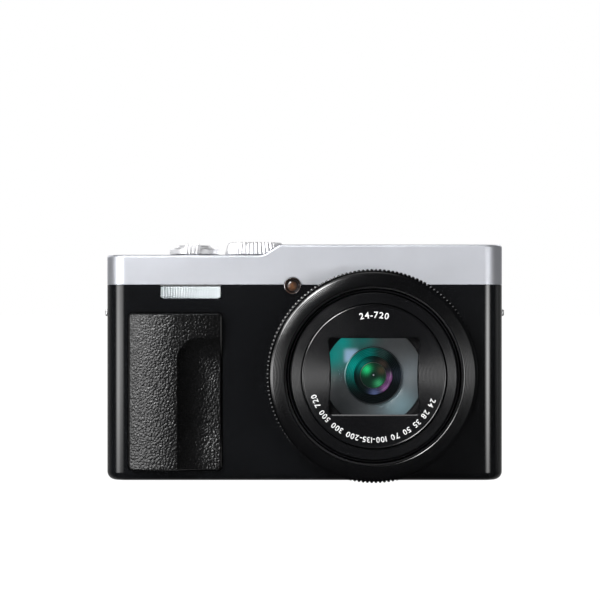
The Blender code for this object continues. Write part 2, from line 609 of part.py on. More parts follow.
def make_lens_shell(lens_axis):
    inner, outer = BASE_TUBE
    collar_front = FRONT_Y - 1.15 * MM
    collar_back = FRONT_Y - GAP
    tube_front = RING_FRONT_Y + 1.0 * MM
    base = [(inner, tube_front), (outer, tube_front), (outer, collar_front),
            (BASE_COLLAR_RADIUS, collar_front), (BASE_COLLAR_RADIUS, collar_back),
            (outer, collar_back), (outer, BASE_REAR_Y), (inner, BASE_REAR_Y)]
    piece("lens_base", turned(base, "Y", lens_centre(), BIG_STEPS), "black_plastic", lens_axis)

    ring_inner = outer + GAP
    lip = inner + 0.1 * MM
    lip_back = tube_front - GAP
    cut_radius = RING_RADIUS - RING_CHAMFER[0]
    cut_y = RING_FRONT_Y + RING_CHAMFER[1]
    ring = [(ring_inner, RING_REAR_Y), (RING_RADIUS, RING_REAR_Y), (RING_RADIUS, cut_y),
            (cut_radius, RING_FRONT_Y), (lip, RING_FRONT_Y), (lip, lip_back), (ring_inner, lip_back)]
    piece("control_ring", turned(ring, "Y", lens_centre(), 64), "black_plastic", lens_axis)

    piece("barrel_outer", tube("Y", lens_centre(), OUTER_BARREL, *OUTER_BARREL_Y), "black_plastic",
          lens_axis)

    inner, outer = MIDDLE_BARREL
    lip_back = MIDDLE_FRONT_Y + 0.9 * MM
    middle = [(MIDDLE_LIP_RADIUS, MIDDLE_FRONT_Y), (outer, MIDDLE_FRONT_Y), (outer, 0.0), (inner, 0.0),
              (inner, lip_back), (MIDDLE_LIP_RADIUS, lip_back)]
    piece("barrel_middle", turned(middle, "Y", lens_centre(), BIG_STEPS), "black_plastic", lens_axis)

    inner, outer = FRONT_BARREL
    barrel_front_y = PLATE_FRONT_Y + PLATE_THICKNESS + GAP
    guide = MIDDLE_BARREL[0] - GAP
    front = [(inner, barrel_front_y), (outer, barrel_front_y), (outer, GUIDE_Y[0]),
             (guide, GUIDE_Y[0]), (guide, GUIDE_Y[1]), (inner, GUIDE_Y[1])]
    piece("barrel_front", turned(front, "Y", lens_centre(), BIG_STEPS), "black_plastic", lens_axis)

    plate = piece("lens_front_plate",
                  cylinder("Y", lens_centre(), FRONT_BARREL[1], PLATE_FRONT_Y,
                           PLATE_FRONT_Y + PLATE_THICKNESS, BIG_STEPS), "black_paint", lens_axis)
    window = rounded_rectangle((LENS_X - WINDOW_HALF_WIDTH, LENS_Z - WINDOW_HALF_HEIGHT),
                               (LENS_X + WINDOW_HALF_WIDTH, LENS_Z + WINDOW_HALF_HEIGHT), 2.0 * MM)
    combine(plate, cutter("lens_window_tool", prism(window, PLATE_FRONT_Y - MM,
                                                    PLATE_FRONT_Y + 2 * MM, "Y")))


def blade_outline(up, height):
    """An open blade: a strip of the blade circle between its straight edge and its own height."""
    angle_low = math.asin(BLADE_OPEN_EDGE / BLADE_RADIUS)
    angle_high = math.asin(min((BLADE_OPEN_EDGE + height) / BLADE_RADIUS, 1.0))
    right = arc((0.0, 0.0), BLADE_RADIUS, angle_low, angle_high, 5)
    left = [(-x, z) for x, z in reversed(right)]
    return [(LENS_X + x, LENS_Z + up * z) for x, z in right + left]


def make_barrier(lens_axis):
    inner_y = PLATE_FRONT_Y + PLATE_THICKNESS + 0.2 * MM
    outer_y = inner_y + BLADE_THICKNESS + 0.2 * MM
    for side, up in (("upper", 1), ("lower", -1)):
        inner = prism(blade_outline(up, INNER_BLADE_HEIGHT), inner_y, inner_y + BLADE_THICKNESS, "Y")
        piece("blade_%s_inner" % side, inner, "dark_metal", lens_axis)
        outer = prism(blade_outline(up, OUTER_BLADE_HEIGHT), outer_y, outer_y + BLADE_THICKNESS, "Y")
        piece("blade_%s_outer" % side, outer, "dark_metal", lens_axis)


def dome(radius, apex_y, rim_y, steps=5):
    """Points of a lens face from its apex on the axis out to its rim."""
    points = []
    for step in range(steps + 1):
        share = step / steps
        points.append((radius * share, apex_y + (rim_y - apex_y) * share * share))
    return points


def make_optics(lens_axis):
    hole = RETAINER_HOLE_RADIUS
    front_y, back_y = RETAINER_Y
    flange_y = front_y + 0.8 * MM
    retainer = [(hole, front_y), (RETAINER_RADIUS, front_y), (RETAINER_RADIUS, flange_y),
                (hole + 1.2 * MM, flange_y), (hole + 1.2 * MM, back_y), (hole, back_y)]
    piece("lens_retainer", turned(retainer, "Y", lens_centre(), BIG_STEPS), "black_plastic", lens_axis)

    face = dome(FRONT_GLASS_RADIUS, -25.5 * MM, -22.6 * MM)
    back = dome(FRONT_GLASS_RADIUS, -19.4 * MM, -20.4 * MM)
    piece("front_lens", turned(face + back[::-1], "Y", lens_centre(), 32), "clear_glass", lens_axis)

    zoom = [(0.0, -16.0 * MM), (8.0 * MM, -15.0 * MM), (8.0 * MM, -17.0 * MM), (11.0 * MM, -17.0 * MM),
            (11.0 * MM, -10.5 * MM), (7.0 * MM, -10.5 * MM), (0.0, -11.5 * MM)]
    piece("zoom_lens_group", turned(zoom, "Y", lens_centre(), 28), "clear_glass", lens_axis)

    focus = [(0.0, -6.4 * MM), (5.5 * MM, -5.6 * MM), (5.5 * MM, -7.0 * MM), (8.0 * MM, -7.0 * MM),
             (8.0 * MM, -3.0 * MM), (5.0 * MM, -3.0 * MM), (0.0, -3.6 * MM)]
    piece("focus_lens_group", turned(focus, "Y", lens_centre(), SMALL_STEPS), "clear_glass", lens_axis)

    half_x, half_z = SENSOR_HALF_SIZE
    sensor = box((LENS_X - half_x, SENSOR_Y[0], LENS_Z - half_z),
                 (LENS_X + half_x, SENSOR_Y[1], LENS_Z + half_z))
    piece("image_sensor", sensor, "circuit_green", lens_axis)


def gear_outline(centre, pitch_radius, teeth, first, count, phase):
    """Straight-sided teeth round a circle, with the plain root circle where there is no tooth."""
    root = pitch_radius - TOOTH_DEDENDUM
    tip = pitch_radius + TOOTH_ADDENDUM
    step = 2 * math.pi / teeth
    points = []
    for tooth in range(teeth):
        middle = phase + tooth * step
        if first <= tooth < first + count:
            corners = ((root, -0.26), (tip, -0.12), (tip, 0.12), (root, 0.26))
        else:
            corners = ((root, 0.0),)
        for radius, offset in corners:
            angle = middle + offset * step
            points.append((centre[0] + radius * math.cos(angle), centre[1] + radius * math.sin(angle)))
    return points


def pinion_centre():
    pinion_radius = TOOTH_PITCH_RADIUS * PINION_TEETH / RING_TEETH
    distance = TOOTH_PITCH_RADIUS + pinion_radius + 0.05 * MM
    return (LENS_X + distance * math.cos(PINION_ANGLE), LENS_Z + distance * math.sin(PINION_ANGLE))


def make_zoom_drive(lens_axis):
    """The cam ring's toothed sector starts under the pinion, so it can turn one way while it meshes."""
    outline = gear_outline(lens_centre(), TOOTH_PITCH_RADIUS, RING_TEETH, 0, SECTOR_TEETH,
                           PINION_ANGLE - SECTOR_LEAD * 2 * math.pi / RING_TEETH)
    ring = piece("cam_ring", prism(outline, *CAM_RING_Y, "Y"), "black_plastic", lens_axis)
    hole = cylinder("Y", lens_centre(), BASE_TUBE[1] + GAP, CAM_RING_Y[0] - MM, CAM_RING_Y[1] + MM,
                    BIG_STEPS)
    combine(ring, cutter("cam_ring_hole_tool", hole))
    centre = pinion_centre()
    pinion_radius = TOOTH_PITCH_RADIUS * PINION_TEETH / RING_TEETH
    facing = PINION_ANGLE + math.pi + math.pi / PINION_TEETH
    outline = gear_outline(centre, pinion_radius, PINION_TEETH, 0, PINION_TEETH, facing)
    piece("zoom_gear", prism(outline, *PINION_Y, "Y"), "black_plastic",
          (centre[0], (PINION_Y[0] + PINION_Y[1]) / 2, centre[1]))
    piece("zoom_motor", cylinder("Y", centre, MOTOR_RADIUS, *MOTOR_Y), "bright_metal")


def monitor_outline(inset, radius):
    return rounded_rectangle((MONITOR_LOW[0] + inset, MONITOR_LOW[1] + inset),
                             (MONITOR_HIGH[0] - inset, MONITOR_HIGH[1] - inset), radius, 2)


def make_monitor(hinge):
    full = monitor_outline(0.0, 2.0 * MM)
    inner = monitor_outline(BEZEL_WIDTH, 1.0 * MM)
    back = piece("monitor_back", prism(full, MONITOR_BACK_Y, MONITOR_JOINT_Y, "Y"), "black_plastic",
                 hinge.location, hinge)
    hollow = prism(inner, MONITOR_BACK_Y + 0.8 * MM, MONITOR_JOINT_Y + MM, "Y")
    combine(back, cutter("monitor_hollow_tool", hollow))
    bezel = piece("monitor_bezel", prism(full, MONITOR_JOINT_Y + GAP, MONITOR_FACE_Y, "Y"),
                  "black_plastic", hinge.location, hinge)
    opening = prism(inner, MONITOR_JOINT_Y - MM, MONITOR_FACE_Y + MM, "Y")
    combine(bezel, cutter("bezel_hole_tool", opening))
    pane = monitor_outline(BEZEL_WIDTH + GAP, 0.8 * MM)
    piece("monitor_glass", prism(pane, MONITOR_FACE_Y - 0.9 * MM, MONITOR_FACE_Y - 0.1 * MM, "Y"),
          "clear_glass", hinge.location, hinge)
    panel = box((MONITOR_LOW[0] + 2.6 * MM, 11.2 * MM, MONITOR_LOW[1] + 2.2 * MM),
                (MONITOR_HIGH[0] - 2.6 * MM, 12.4 * MM, MONITOR_HIGH[1] - 2.2 * MM))
    piece("lcd_panel", panel, "black_plastic", hinge.location, hinge)


def make_monitor_carrier(hinge):
    front_y, back_y = CARRIER_Y
    plate = box((-12 * MM, front_y, 14.0 * MM), (40 * MM, back_y, 50.5 * MM))
    carrier = piece("monitor_carrier", plate, "dark_metal", hinge.location, hinge)
    for name, start in (("near", -12 * MM), ("far", 32 * MM)):
        end = start + 8 * MM
        arm = box((start, front_y, 49.0 * MM), (end, back_y, HINGE_Z + KNUCKLE_RADIUS))
        combine(carrier, cutter("carrier_arm_%s_tool" % name, arm), "UNION")
        bridge = box((start, front_y, HINGE_Z - 0.9 * MM), (end, HINGE_Y, HINGE_Z + 0.9 * MM))
        combine(carrier, cutter("carrier_bridge_%s_tool" % name, bridge), "UNION")
        knuckle = cylinder("X", (HINGE_Y, HINGE_Z), KNUCKLE_RADIUS, start - TOUCH, end + TOUCH)
        combine(carrier, cutter("carrier_knuckle_%s_tool" % name, knuckle), "UNION")
    bore = cylinder("X", (HINGE_Y, HINGE_Z), 0.7 * MM, -14 * MM, 42 * MM, TINY_STEPS)
    combine(carrier, cutter("carrier_bore_tool", bore))
    pin = cylinder("X", (HINGE_Y, HINGE_Z), 0.55 * MM, MONITOR_LOW[0] - 1.7 * MM,
                   MONITOR_HIGH[0] + 1.7 * MM, TINY_STEPS)
    piece("monitor_hinge_pin", pin, "bright_metal")


def rear_buttons():
    """Centres of the round rear buttons, set square round the control dial."""
    across = 9.1 * MM
    rise = 14.3 * MM
    x, z = PAD_CENTRE
    return {
        "playback_button": (x - across, z + rise),
        "function_button": (x + across, z + rise),
        "display_button": (x - across, z - rise),
        "quick_menu_button": (x + across, z - rise),
    }


def make_rear_controls():
    flange = REAR_BUTTON_RADIUS + FLANGE
    root_y = 10.9 * MM
    flange_y = root_y + 1.0 * MM
    for name, centre in rear_buttons().items():
        profile = [(0.0, root_y), (flange, root_y), (flange, flange_y), (REAR_BUTTON_RADIUS, flange_y),
                   (REAR_BUTTON_RADIUS, REAR_Y + 0.2 * MM), (0.0, REAR_Y + 0.4 * MM)]
        piece(name, turned(profile, "Y", centre, SMALL_STEPS), "black_plastic",
              (centre[0], REAR_Y, centre[1]))
    origin = (PAD_CENTRE[0], REAR_Y, PAD_CENTRE[1])
    wheel = tube("Y", PAD_CENTRE, CONTROL_DIAL, 11.0 * MM, 14.0 * MM, 40)
    piece("control_dial", wheel, "black_plastic", origin)
    pad = tube("Y", PAD_CENTRE, CURSOR_PAD, REAR_ROOT_Y, 13.8 * MM, 28)
    piece("cursor_pad", pad, "black_plastic", origin)
    button = cylinder("Y", PAD_CENTRE, MENU_BUTTON_RADIUS, REAR_ROOT_Y, 13.9 * MM)
    piece("menu_button", button, "black_plastic", origin)
    outline = rounded_rectangle(THUMB_LOW, THUMB_HIGH, 2.7 * MM, 3)
    piece("thumb_rest", prism(outline, REAR_Y - 0.6 * MM, REAR_Y + 0.9 * MM, "Y"), "grip_rubber")


def make_battery_door():
    """A flush door whose front edge is round about its pin, with a sliding latch in its outer face."""
    radius = DOOR_THICKNESS / 2
    pin_y = DOOR_LOW[1] + radius
    outline = arc((pin_y, radius), radius, math.pi / 2, 3 * math.pi / 2, 6)
    outline += [(DOOR_HIGH[1], 0.0), (DOOR_HIGH[1], DOOR_THICKNESS)]
    door = piece("battery_door", prism(outline, DOOR_LOW[0], DOOR_HIGH[0], "X"), "black_plastic",
                 (0.0, pin_y, radius))
    bore = cylinder("X", (pin_y, radius), DOOR_PIN_RADIUS + 0.1 * MM, DOOR_LOW[0] - MM,
                    DOOR_HIGH[0] + MM, TINY_STEPS)
    combine(door, cutter("door_bore_tool", bore))
    pocket = box((LATCH_LOW[0] - GAP, LATCH_LOW[1] - GAP, -MM),
                 (LATCH_HIGH[0] + LATCH_TRAVEL + GAP, LATCH_HIGH[1] + GAP, 1.3 * MM))
    combine(door, cutter("latch_pocket_tool", pocket))
    latch = box((*LATCH_LOW, 0.05 * MM), (*LATCH_HIGH, 1.0 * MM))
    piece("battery_door_latch", latch, "black_plastic")
    piece("battery_door_pin", cylinder("X", (pin_y, radius), DOOR_PIN_RADIUS, DOOR_LOW[0] - 0.9 * MM,
                                       DOOR_HIGH[0] + 0.9 * MM, TINY_STEPS), "bright_metal")


def make_port_cover():
    """A side cover whose rear edge is round about its own hinge line."""
    radius = COVER_THICKNESS / 2
    hinge = (-SIDE_X + radius, COVER_HIGH[0] - radius)
    outline = arc(hinge, radius, 0.0, math.pi, 6)
    outline += [(-SIDE_X, COVER_LOW[0]), (-SIDE_X + COVER_THICKNESS, COVER_LOW[0])]
    piece("port_cover", prism(outline, COVER_LOW[1], COVER_HIGH[1], "Z"), "black_plastic",
          (hinge[0], hinge[1], 0.0))
    shell = rounded_rectangle((2.0 * MM, 19.0 * MM), (5.2 * MM, 28.0 * MM), 1.4 * MM, 3)
    port = piece("usb_port", prism(shell, -54.2 * MM, -47.5 * MM, "X"), "bright_metal")
    mouth = rounded_rectangle((2.4 * MM, 19.4 * MM), (4.8 * MM, 27.6 * MM), 1.1 * MM, 3)
    combine(port, cutter("usb_mouth_tool", prism(mouth, -56 * MM, -49 * MM, "X")))


def make_base_parts():
    socket = [(0.0, 6.0 * MM), (TRIPOD_RADIUS, 6.0 * MM), (TRIPOD_RADIUS, 0.1 * MM),
              (TRIPOD_HOLE_RADIUS, 0.1 * MM), (TRIPOD_HOLE_RADIUS, 5.0 * MM), (0.0, 5.0 * MM)]
    piece("tripod_socket", turned(socket, "Z", (TRIPOD_X, TRIPOD_Y), SMALL_STEPS), "bright_metal")
    for name, x in SCREW_PLACES:
        screw = cylinder("Z", (x, SCREW_Y), SCREW_RADIUS, 0.1 * MM, 3.0 * MM, TINY_STEPS)
        piece("base_screw_" + name, screw, "dark_metal")


def make_electronics():
    piece("battery", box(BATTERY_LOW, BATTERY_HIGH), "label_grey")
    piece("memory_card", box(CARD_LOW, CARD_HIGH), "black_plastic")
    piece("main_board", box(BOARD_LOW, BOARD_HIGH), "circuit_green")


def build_camera():
    clear_scene()
    lens_axis = (LENS_X, RING_FRONT_Y, LENS_Z)
    hinge = empty("monitor_hinge_line", (0.0, HINGE_Y, HINGE_Z))
    tools = shared_cutters()
    make_front_case(tools)
    make_rear_case(tools)
    make_top_cover(tools)
    make_grip_pad()
    make_flash()
    make_focus_lamp()
    make_strap_lugs()
    make_top_controls()
    make_lens_shell(lens_axis)
    make_barrier(lens_axis)
    make_optics(lens_axis)
    make_zoom_drive(lens_axis)
    make_monitor(hinge)
    make_monitor_carrier(hinge)
    make_rear_controls()
    make_battery_door()
    make_port_cover()
    make_base_parts()
    make_electronics()


build_camera()
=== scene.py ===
import json
import math

import bmesh
import bpy
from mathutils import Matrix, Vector, noise


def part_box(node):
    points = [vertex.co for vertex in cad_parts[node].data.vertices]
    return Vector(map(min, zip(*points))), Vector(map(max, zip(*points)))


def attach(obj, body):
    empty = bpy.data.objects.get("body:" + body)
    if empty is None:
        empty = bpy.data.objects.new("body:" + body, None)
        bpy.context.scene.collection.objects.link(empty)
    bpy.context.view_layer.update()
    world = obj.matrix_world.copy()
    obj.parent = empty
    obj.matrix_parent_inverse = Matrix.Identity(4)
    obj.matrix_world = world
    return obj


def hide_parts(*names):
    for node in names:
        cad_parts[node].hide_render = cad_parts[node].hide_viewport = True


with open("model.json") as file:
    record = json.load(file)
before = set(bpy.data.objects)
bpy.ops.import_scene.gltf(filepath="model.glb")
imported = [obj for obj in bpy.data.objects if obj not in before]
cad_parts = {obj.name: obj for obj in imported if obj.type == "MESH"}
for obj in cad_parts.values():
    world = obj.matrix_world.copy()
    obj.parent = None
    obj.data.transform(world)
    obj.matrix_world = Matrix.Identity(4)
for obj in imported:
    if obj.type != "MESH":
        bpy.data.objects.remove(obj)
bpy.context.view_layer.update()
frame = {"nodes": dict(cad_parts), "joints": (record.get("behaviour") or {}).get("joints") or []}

MM = 0.001
FULL_TURN = 2 * math.pi
QUARTER = math.pi / 2
FINE_STEPS = 128
ROUND_STEPS = 48
MERGE_DISTANCE = 0.0005 * MM
ROOT = "camera_body"
LUGS = {-1: "strap_lug_left", 1: "strap_lug_right"}
BASE_SCREWS = ("base_screw_left", "base_screw_right")
REAR_BUTTON_MARK_SIDES = {"playback_button": 3, "function_button": 24, "display_button": 4,
                          "quick_menu_button": 6}


# ---------------------------------------------------------------- places that come from the frame

def flat(point, axis):
    """The two coordinates of a point seen along an axis."""
    if axis == "X":
        return point[1], point[2]
    if axis == "Y":
        return point[0], point[2]
    return point[0], point[1]


def hinge_place(name, axis):
    for joint in frame["joints"]:
        if joint["name"] == name:
            return flat(joint["pos_m"], axis)


def round_room(node, axis="Y"):
    """Centre, radius and both ends of the box round a piece that is round about an axis."""
    low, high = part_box(node)
    (left, bottom), (right, top) = flat(low, axis), flat(high, axis)
    along = "XYZ".index(axis)
    return ((left + right) / 2, (bottom + top) / 2), (right - left) / 2, low[along], high[along]


SIDE_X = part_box("front_case")[1].x
FRONT_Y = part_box("front_case")[0].y
REAR_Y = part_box("rear_case")[1].y
PART_FRONT_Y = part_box("front_case")[1].y
PART_REAR_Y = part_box("rear_case")[0].y
SEAM_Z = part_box("top_cover")[0].z
RAISED_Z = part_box("top_cover")[1].z
LENS = hinge_place("control_ring_turn", "Y")
DIAL = hinge_place("mode_dial_turn", "Z")
SHUTTER = hinge_place("zoom_lever_turn", "Z")
REAR_DIAL = hinge_place("control_dial_turn", "Y")

# Sizes of the design
GAP = 0.3 * MM
DOOR_GAP = 0.2 * MM
CORNER_RADIUS = 5.5 * MM
BOTTOM_ROUND = 2.3 * MM
TOP_ROUND = 0.75 * MM
SEAM_GAP = 0.06 * MM
WALL = 1.5 * MM
SIDE_WALL = 2.5 * MM
DECK_Z = 63.3 * MM
RAMP_X = (-11.7 * MM, -7.4 * MM)
LUG_STANDOUT = 0.5 * MM
FLUTE_PITCH = 0.73 * MM

# The leather's grain comes from noise, which differs from run to run without a fixed seed
noise.seed_set(1)


# ---------------------------------------------------------------- mesh tools

def point_on(axis, first, second, along):
    if axis == "X":
        return Vector((along, first, second))
    if axis == "Y":
        return Vector((first, along, second))
    return Vector((first, second, along))


def near(radius, along, *steps):
    """Profile points, each given in millimetres from one radius and one place along the axis."""
    return [(radius + step[0] * MM, along + step[1] * MM, *step[2:]) for step in steps]


def arc(centre, radius, start, end, steps):
    angles = [start + (end - start) * step / steps for step in range(steps + 1)]
    return [(centre[0] + radius * math.cos(angle), centre[1] + radius * math.sin(angle)) for angle in angles]


def rounded_rectangle(low, high, radius, steps=6):
    places = [(high[0] - radius, high[1] - radius), (low[0] + radius, high[1] - radius),
              (low[0] + radius, low[1] + radius), (high[0] - radius, low[1] + radius)]
    points = []
    for turn, centre in enumerate(places):
        points += arc(centre, radius, turn * QUARTER, (turn + 1) * QUARTER, steps)
    return points


def set_back(shape, faces, axis, distance=None, level=None):
    """Closes a sheet of faces into a solid: its copy moves by a distance, or its Y goes to a level."""
    swept = bmesh.ops.extrude_face_region(shape, geom=faces)
    moved = [item for item in swept["geom"] if isinstance(item, bmesh.types.BMVert)]
    if level is None:
        bmesh.ops.translate(shape, verts=moved, vec=point_on(axis, 0.0, 0.0, distance))
    else:
        for corner in moved:
            corner.co.y = level
    bmesh.ops.recalc_face_normals(shape, faces=shape.faces)
    return shape


def prism(outline, start, end, axis):
    shape = bmesh.new()
    face = shape.faces.new([shape.verts.new(point_on(axis, first, second, start)) for first, second in outline])
    return set_back(shape, [face], axis, distance=end - start)


def box(low, high):
    outline = [(low[0], low[1]), (high[0], low[1]), (high[0], high[1]), (low[0], high[1])]
    return prism(outline, low[2], high[2], "Z")


def plate(low, high, margin, radius, start, end, axis="Y", steps=6):
    """A round-cornered plate the size of a box plus a margin, from start to end along an axis."""
    (left, bottom), (right, top) = flat(low, axis), flat(high, axis)
    outline = rounded_rectangle((left - margin, bottom - margin), (right + margin, top + margin), radius, steps)
    return prism(outline, start, end, axis)


def turned(profile, axis, centre, steps=FINE_STEPS):
    """The (radius, place along the axis) profile spun about a line; it is open only if it ends on the line."""
    shape = bmesh.new()
    ring = [shape.verts.new(point_on(axis, centre[0] + radius, centre[1], along)) for radius, along in profile]
    pairs = list(zip(ring, ring[1:]))
    if profile[0][0] > 0.0:
        pairs.append((ring[-1], ring[0]))
    edges = [shape.edges.new(pair) for pair in pairs]
    bmesh.ops.spin(shape, geom=ring + edges, cent=point_on(axis, centre[0], centre[1], 0.0),
                   axis=point_on(axis, 0.0, 0.0, 1.0), angle=FULL_TURN, steps=steps,
                   use_merge=True, use_duplicate=False)
    bmesh.ops.remove_doubles(shape, verts=shape.verts, dist=MERGE_DISTANCE)
    bmesh.ops.recalc_face_normals(shape, faces=shape.faces)
    return shape


def cylinder(axis, centre, radius, start, end, steps=ROUND_STEPS):
    return turned([(0.0, start), (radius, start), (radius, end), (0.0, end)], axis, centre, steps)


def join_loops(shape, first, second):
    """Faces between two closed loops of corners; a loop of one corner is a tip."""
    count = max(len(first), len(second))
    for number in range(count):
        following = (number + 1) % count
        if len(first) == 1:
            shape.faces.new((first[0], second[number], second[following]))
        elif len(second) == 1:
            shape.faces.new((first[following], first[number], second[0]))
        else:
            shape.faces.new((first[number], second[number], second[following], first[following]))


def fluted(profile, axis, centre, teeth, points_per_tooth, tooth_shape):
    """A closed ring or solid whose radii also vary round the turn, as knurled rings and dials do.

    The profile holds (radius, place along the axis, share of the tooth shape that applies there).
    """
    shape = bmesh.new()
    steps = teeth * points_per_tooth
    loops = []
    for radius, along, share in profile:
        if radius <= 0.0:
            loops.append([shape.verts.new(point_on(axis, centre[0], centre[1], along))])
            continue
        loop = []
        for step in range(steps):
            angle = FULL_TURN * step / steps
            grown = radius + share * tooth_shape((step % points_per_tooth) / points_per_tooth)
            loop.append(shape.verts.new(point_on(axis, centre[0] + grown * math.cos(angle),
                                                 centre[1] + grown * math.sin(angle), along)))
        loops.append(loop)
    if profile[0][0] > 0.0:
        loops.append(loops[0])
    for first, second in zip(loops, loops[1:]):
        join_loops(shape, first, second)
    bmesh.ops.recalc_face_normals(shape, faces=shape.faces)
    return shape


def trim(shape, point, normal):
    everything = shape.verts[:] + shape.edges[:] + shape.faces[:]
    result = bmesh.ops.bisect_plane(shape, geom=everything, plane_co=point, plane_no=normal, clear_outer=True)
    bmesh.ops.edgeloop_fill(shape, edges=[item for item in result["geom_cut"]
                                          if isinstance(item, bmesh.types.BMEdge)])
    bmesh.ops.recalc_face_normals(shape, faces=shape.faces)


def edges_where(shape, test):
    return [edge for edge in shape.edges if all(test(corner.co) for corner in edge.verts)]


def bevel(shape, chosen, width, segments):
    bmesh.ops.bevel(shape, geom=chosen, offset=width, segments=segments, profile=0.5,
                    affect="EDGES", clamp_overlap=True)


def soften(shape, width, segments=3, angle=40):
    """Rounds every edge that turns by more than the angle, in degrees."""
    bmesh.ops.recalc_face_normals(shape, faces=shape.faces)
    sharp = [edge for edge in shape.edges if edge.is_manifold and edge.calc_face_angle() > math.radians(angle)]
    bevel(shape, sharp, width, segments)
    return shape


def mesh_object(name, shape):
    mesh = bpy.data.meshes.new(name)
    shape.to_mesh(mesh)
    shape.free()
    thing = bpy.data.objects.new(name, mesh)
    bpy.context.scene.collection.objects.link(thing)
    return thing


def evaluated_mesh(thing):
    return bpy.data.meshes.new_from_object(thing.evaluated_get(bpy.context.evaluated_depsgraph_get()))


def combine(thing, operation, shapes):
    for shape in shapes:
        tool = mesh_object("tool", shape)
        modifier = thing.modifiers.new("combine", "BOOLEAN")
        modifier.operation = operation
        modifier.object = tool
        result = evaluated_mesh(thing)
        thing.modifiers.clear()
        old, spent, name = thing.data, tool.data, thing.data.name
        thing.data = result
        bpy.data.objects.remove(tool)
        bpy.data.meshes.remove(old)
        bpy.data.meshes.remove(spent)
        result.name = name


def add(name, shape, body, material, stands_for=None, angle=32, flat_faces=True, joined=(), cuts=()):
    """Makes, shades, paints and mounts a piece. Its edges stay sharp above the angle, in degrees."""
    thing = mesh_object(name, shape)
    combine(thing, "UNION", joined)
    combine(thing, "DIFFERENCE", cuts)
    thing.data.shade_smooth()
    thing.data.set_sharp_from_angle(angle=math.radians(angle))
    thing.data.materials.clear()
    thing.data.materials.append(material)
    if flat_faces:
        thing.modifiers.new("flat_faces", "WEIGHTED_NORMAL").keep_sharp = True
    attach(thing, body)
    if stands_for:
        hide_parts(stands_for)


def add_on_lens(name, profile, material, stands_for=None, body="front_barrel", steps=FINE_STEPS, **more):
    """A piece turned about the lens axis."""
    add(name, turned(profile, "Y", LENS, steps), body, material, stands_for, **more)


# ---------------------------------------------------------------- materials

class Nodes:
    """A short way to wire a node tree. A value is a number, a tuple or another node's output."""

    def __init__(self, tree):
        self.tree = tree

    def feed(self, socket, value):
        if isinstance(value, bpy.types.NodeSocket):
            self.tree.links.new(value, socket)
        elif socket.type == "RGBA":
            socket.default_value = (*value, 1.0)
        else:
            socket.default_value = value

    def node(self, kind, values=None, **settings):
        made = self.tree.nodes.new(kind)
        for key, value in settings.items():
            setattr(made, key, value)
        for key, value in (values or {}).items():
            self.feed(made.inputs[key], value)
        return made

    def place(self):
        return self.node("ShaderNodeTexCoord").outputs["Object"]

    def noise(self, size, detail=2.0, roughness=0.5, stretch=None):
        place = self.place()
        if stretch is not None:
            place = self.node("ShaderNodeMapping", {"Scale": stretch, "Vector": place}).outputs["Vector"]
        values = {"Scale": 1.0 / size, "Detail": detail, "Roughness": roughness, "Vector": place}
        return self.node("ShaderNodeTexNoise", values).outputs["Fac"]

    def span(self, value, low, high, start=0.3, end=0.7, kind="LINEAR"):
        """Maps a value that runs from start to end onto low to high."""
        values = {"Value": value, "From Min": start, "From Max": end, "To Min": low, "To Max": high}
        return self.node("ShaderNodeMapRange", values, interpolation_type=kind).outputs["Result"]

    def mix(self, share, first, second):
        return self.node("ShaderNodeMix", {0: share, 6: first, 7: second}, data_type="RGBA").outputs[2]

    def math(self, operation, *values):
        return self.node("ShaderNodeMath", dict(enumerate(values)), operation=operation).outputs[0]


class Finish(Nodes):
    """The node tree of a new material."""

    def __init__(self, name):
        self.material = bpy.data.materials.new(name)
        self.material.use_nodes = True
        super().__init__(self.material.node_tree)
        self.shader = self.tree.nodes["Principled BSDF"]

    def put(self, **values):
        for key, value in values.items():
            self.feed(self.shader.inputs[key.replace("_", " ")], value)

    def bump(self, height, distance, strength=1.0, **before):
        values = {"Strength": strength, "Distance": distance, "Height": height, **before}
        return self.node("ShaderNodeBump", values).outputs["Normal"]

    def edges(self):
        """1 on worn convex edges, 0 elsewhere."""
        return self.span(self.node("ShaderNodeNewGeometry").outputs["Pointiness"], 0.0, 1.0, 0.52, 0.62)

    def cloud(self, size, detail, dark, light):
        """A slow change between two colours."""
        return self.mix(self.span(self.noise(size, detail), 0.0, 1.0), dark, light)

    def surface(self, share, first, second):
        """Makes the surface a blend of two shaders."""
        mixed = self.node("ShaderNodeMixShader", {0: share, 1: first.outputs[0], 2: second.outputs[0]})
        self.feed(self.tree.nodes["Material Output"].inputs["Surface"], mixed.outputs[0])


def scaled(colour, factor, lift=0.0):
    return tuple(min(1.0, part * factor + lift) for part in colour)


def finish(name, colour, roughness, metallic=0.0, grain=0.08 * MM, depth=0.004 * MM, mottle=0.12,
           wear=0.25, coat=0.0, specular=0.5, uneven=0.04):
    """A moulded or painted surface: fine grain, uneven gloss, slight colour change and rubbed edges."""
    nodes = Finish(name)
    light = scaled(colour, 1.0 + mottle, 0.0004)
    body = nodes.cloud(14 * MM, 3.0, scaled(colour, 1.0 - mottle), light)
    fine = nodes.noise(grain)
    speck = nodes.mix(nodes.span(fine, 0.0, 0.35), body, light)
    worn = nodes.math("MULTIPLY", nodes.edges(), wear)
    gloss = nodes.span(nodes.noise(3 * MM, 4.0), max(roughness - uneven, 0.02), roughness + uneven, 0.2, 0.8)
    nodes.put(Base_Color=nodes.mix(worn, speck, scaled(colour, 1.6, 0.008)), Roughness=gloss,
              Normal=nodes.bump(fine, depth), Metallic=metallic, Coat_Weight=coat, Coat_Roughness=0.12,
              Specular_IOR_Level=specular)
    return nodes.material


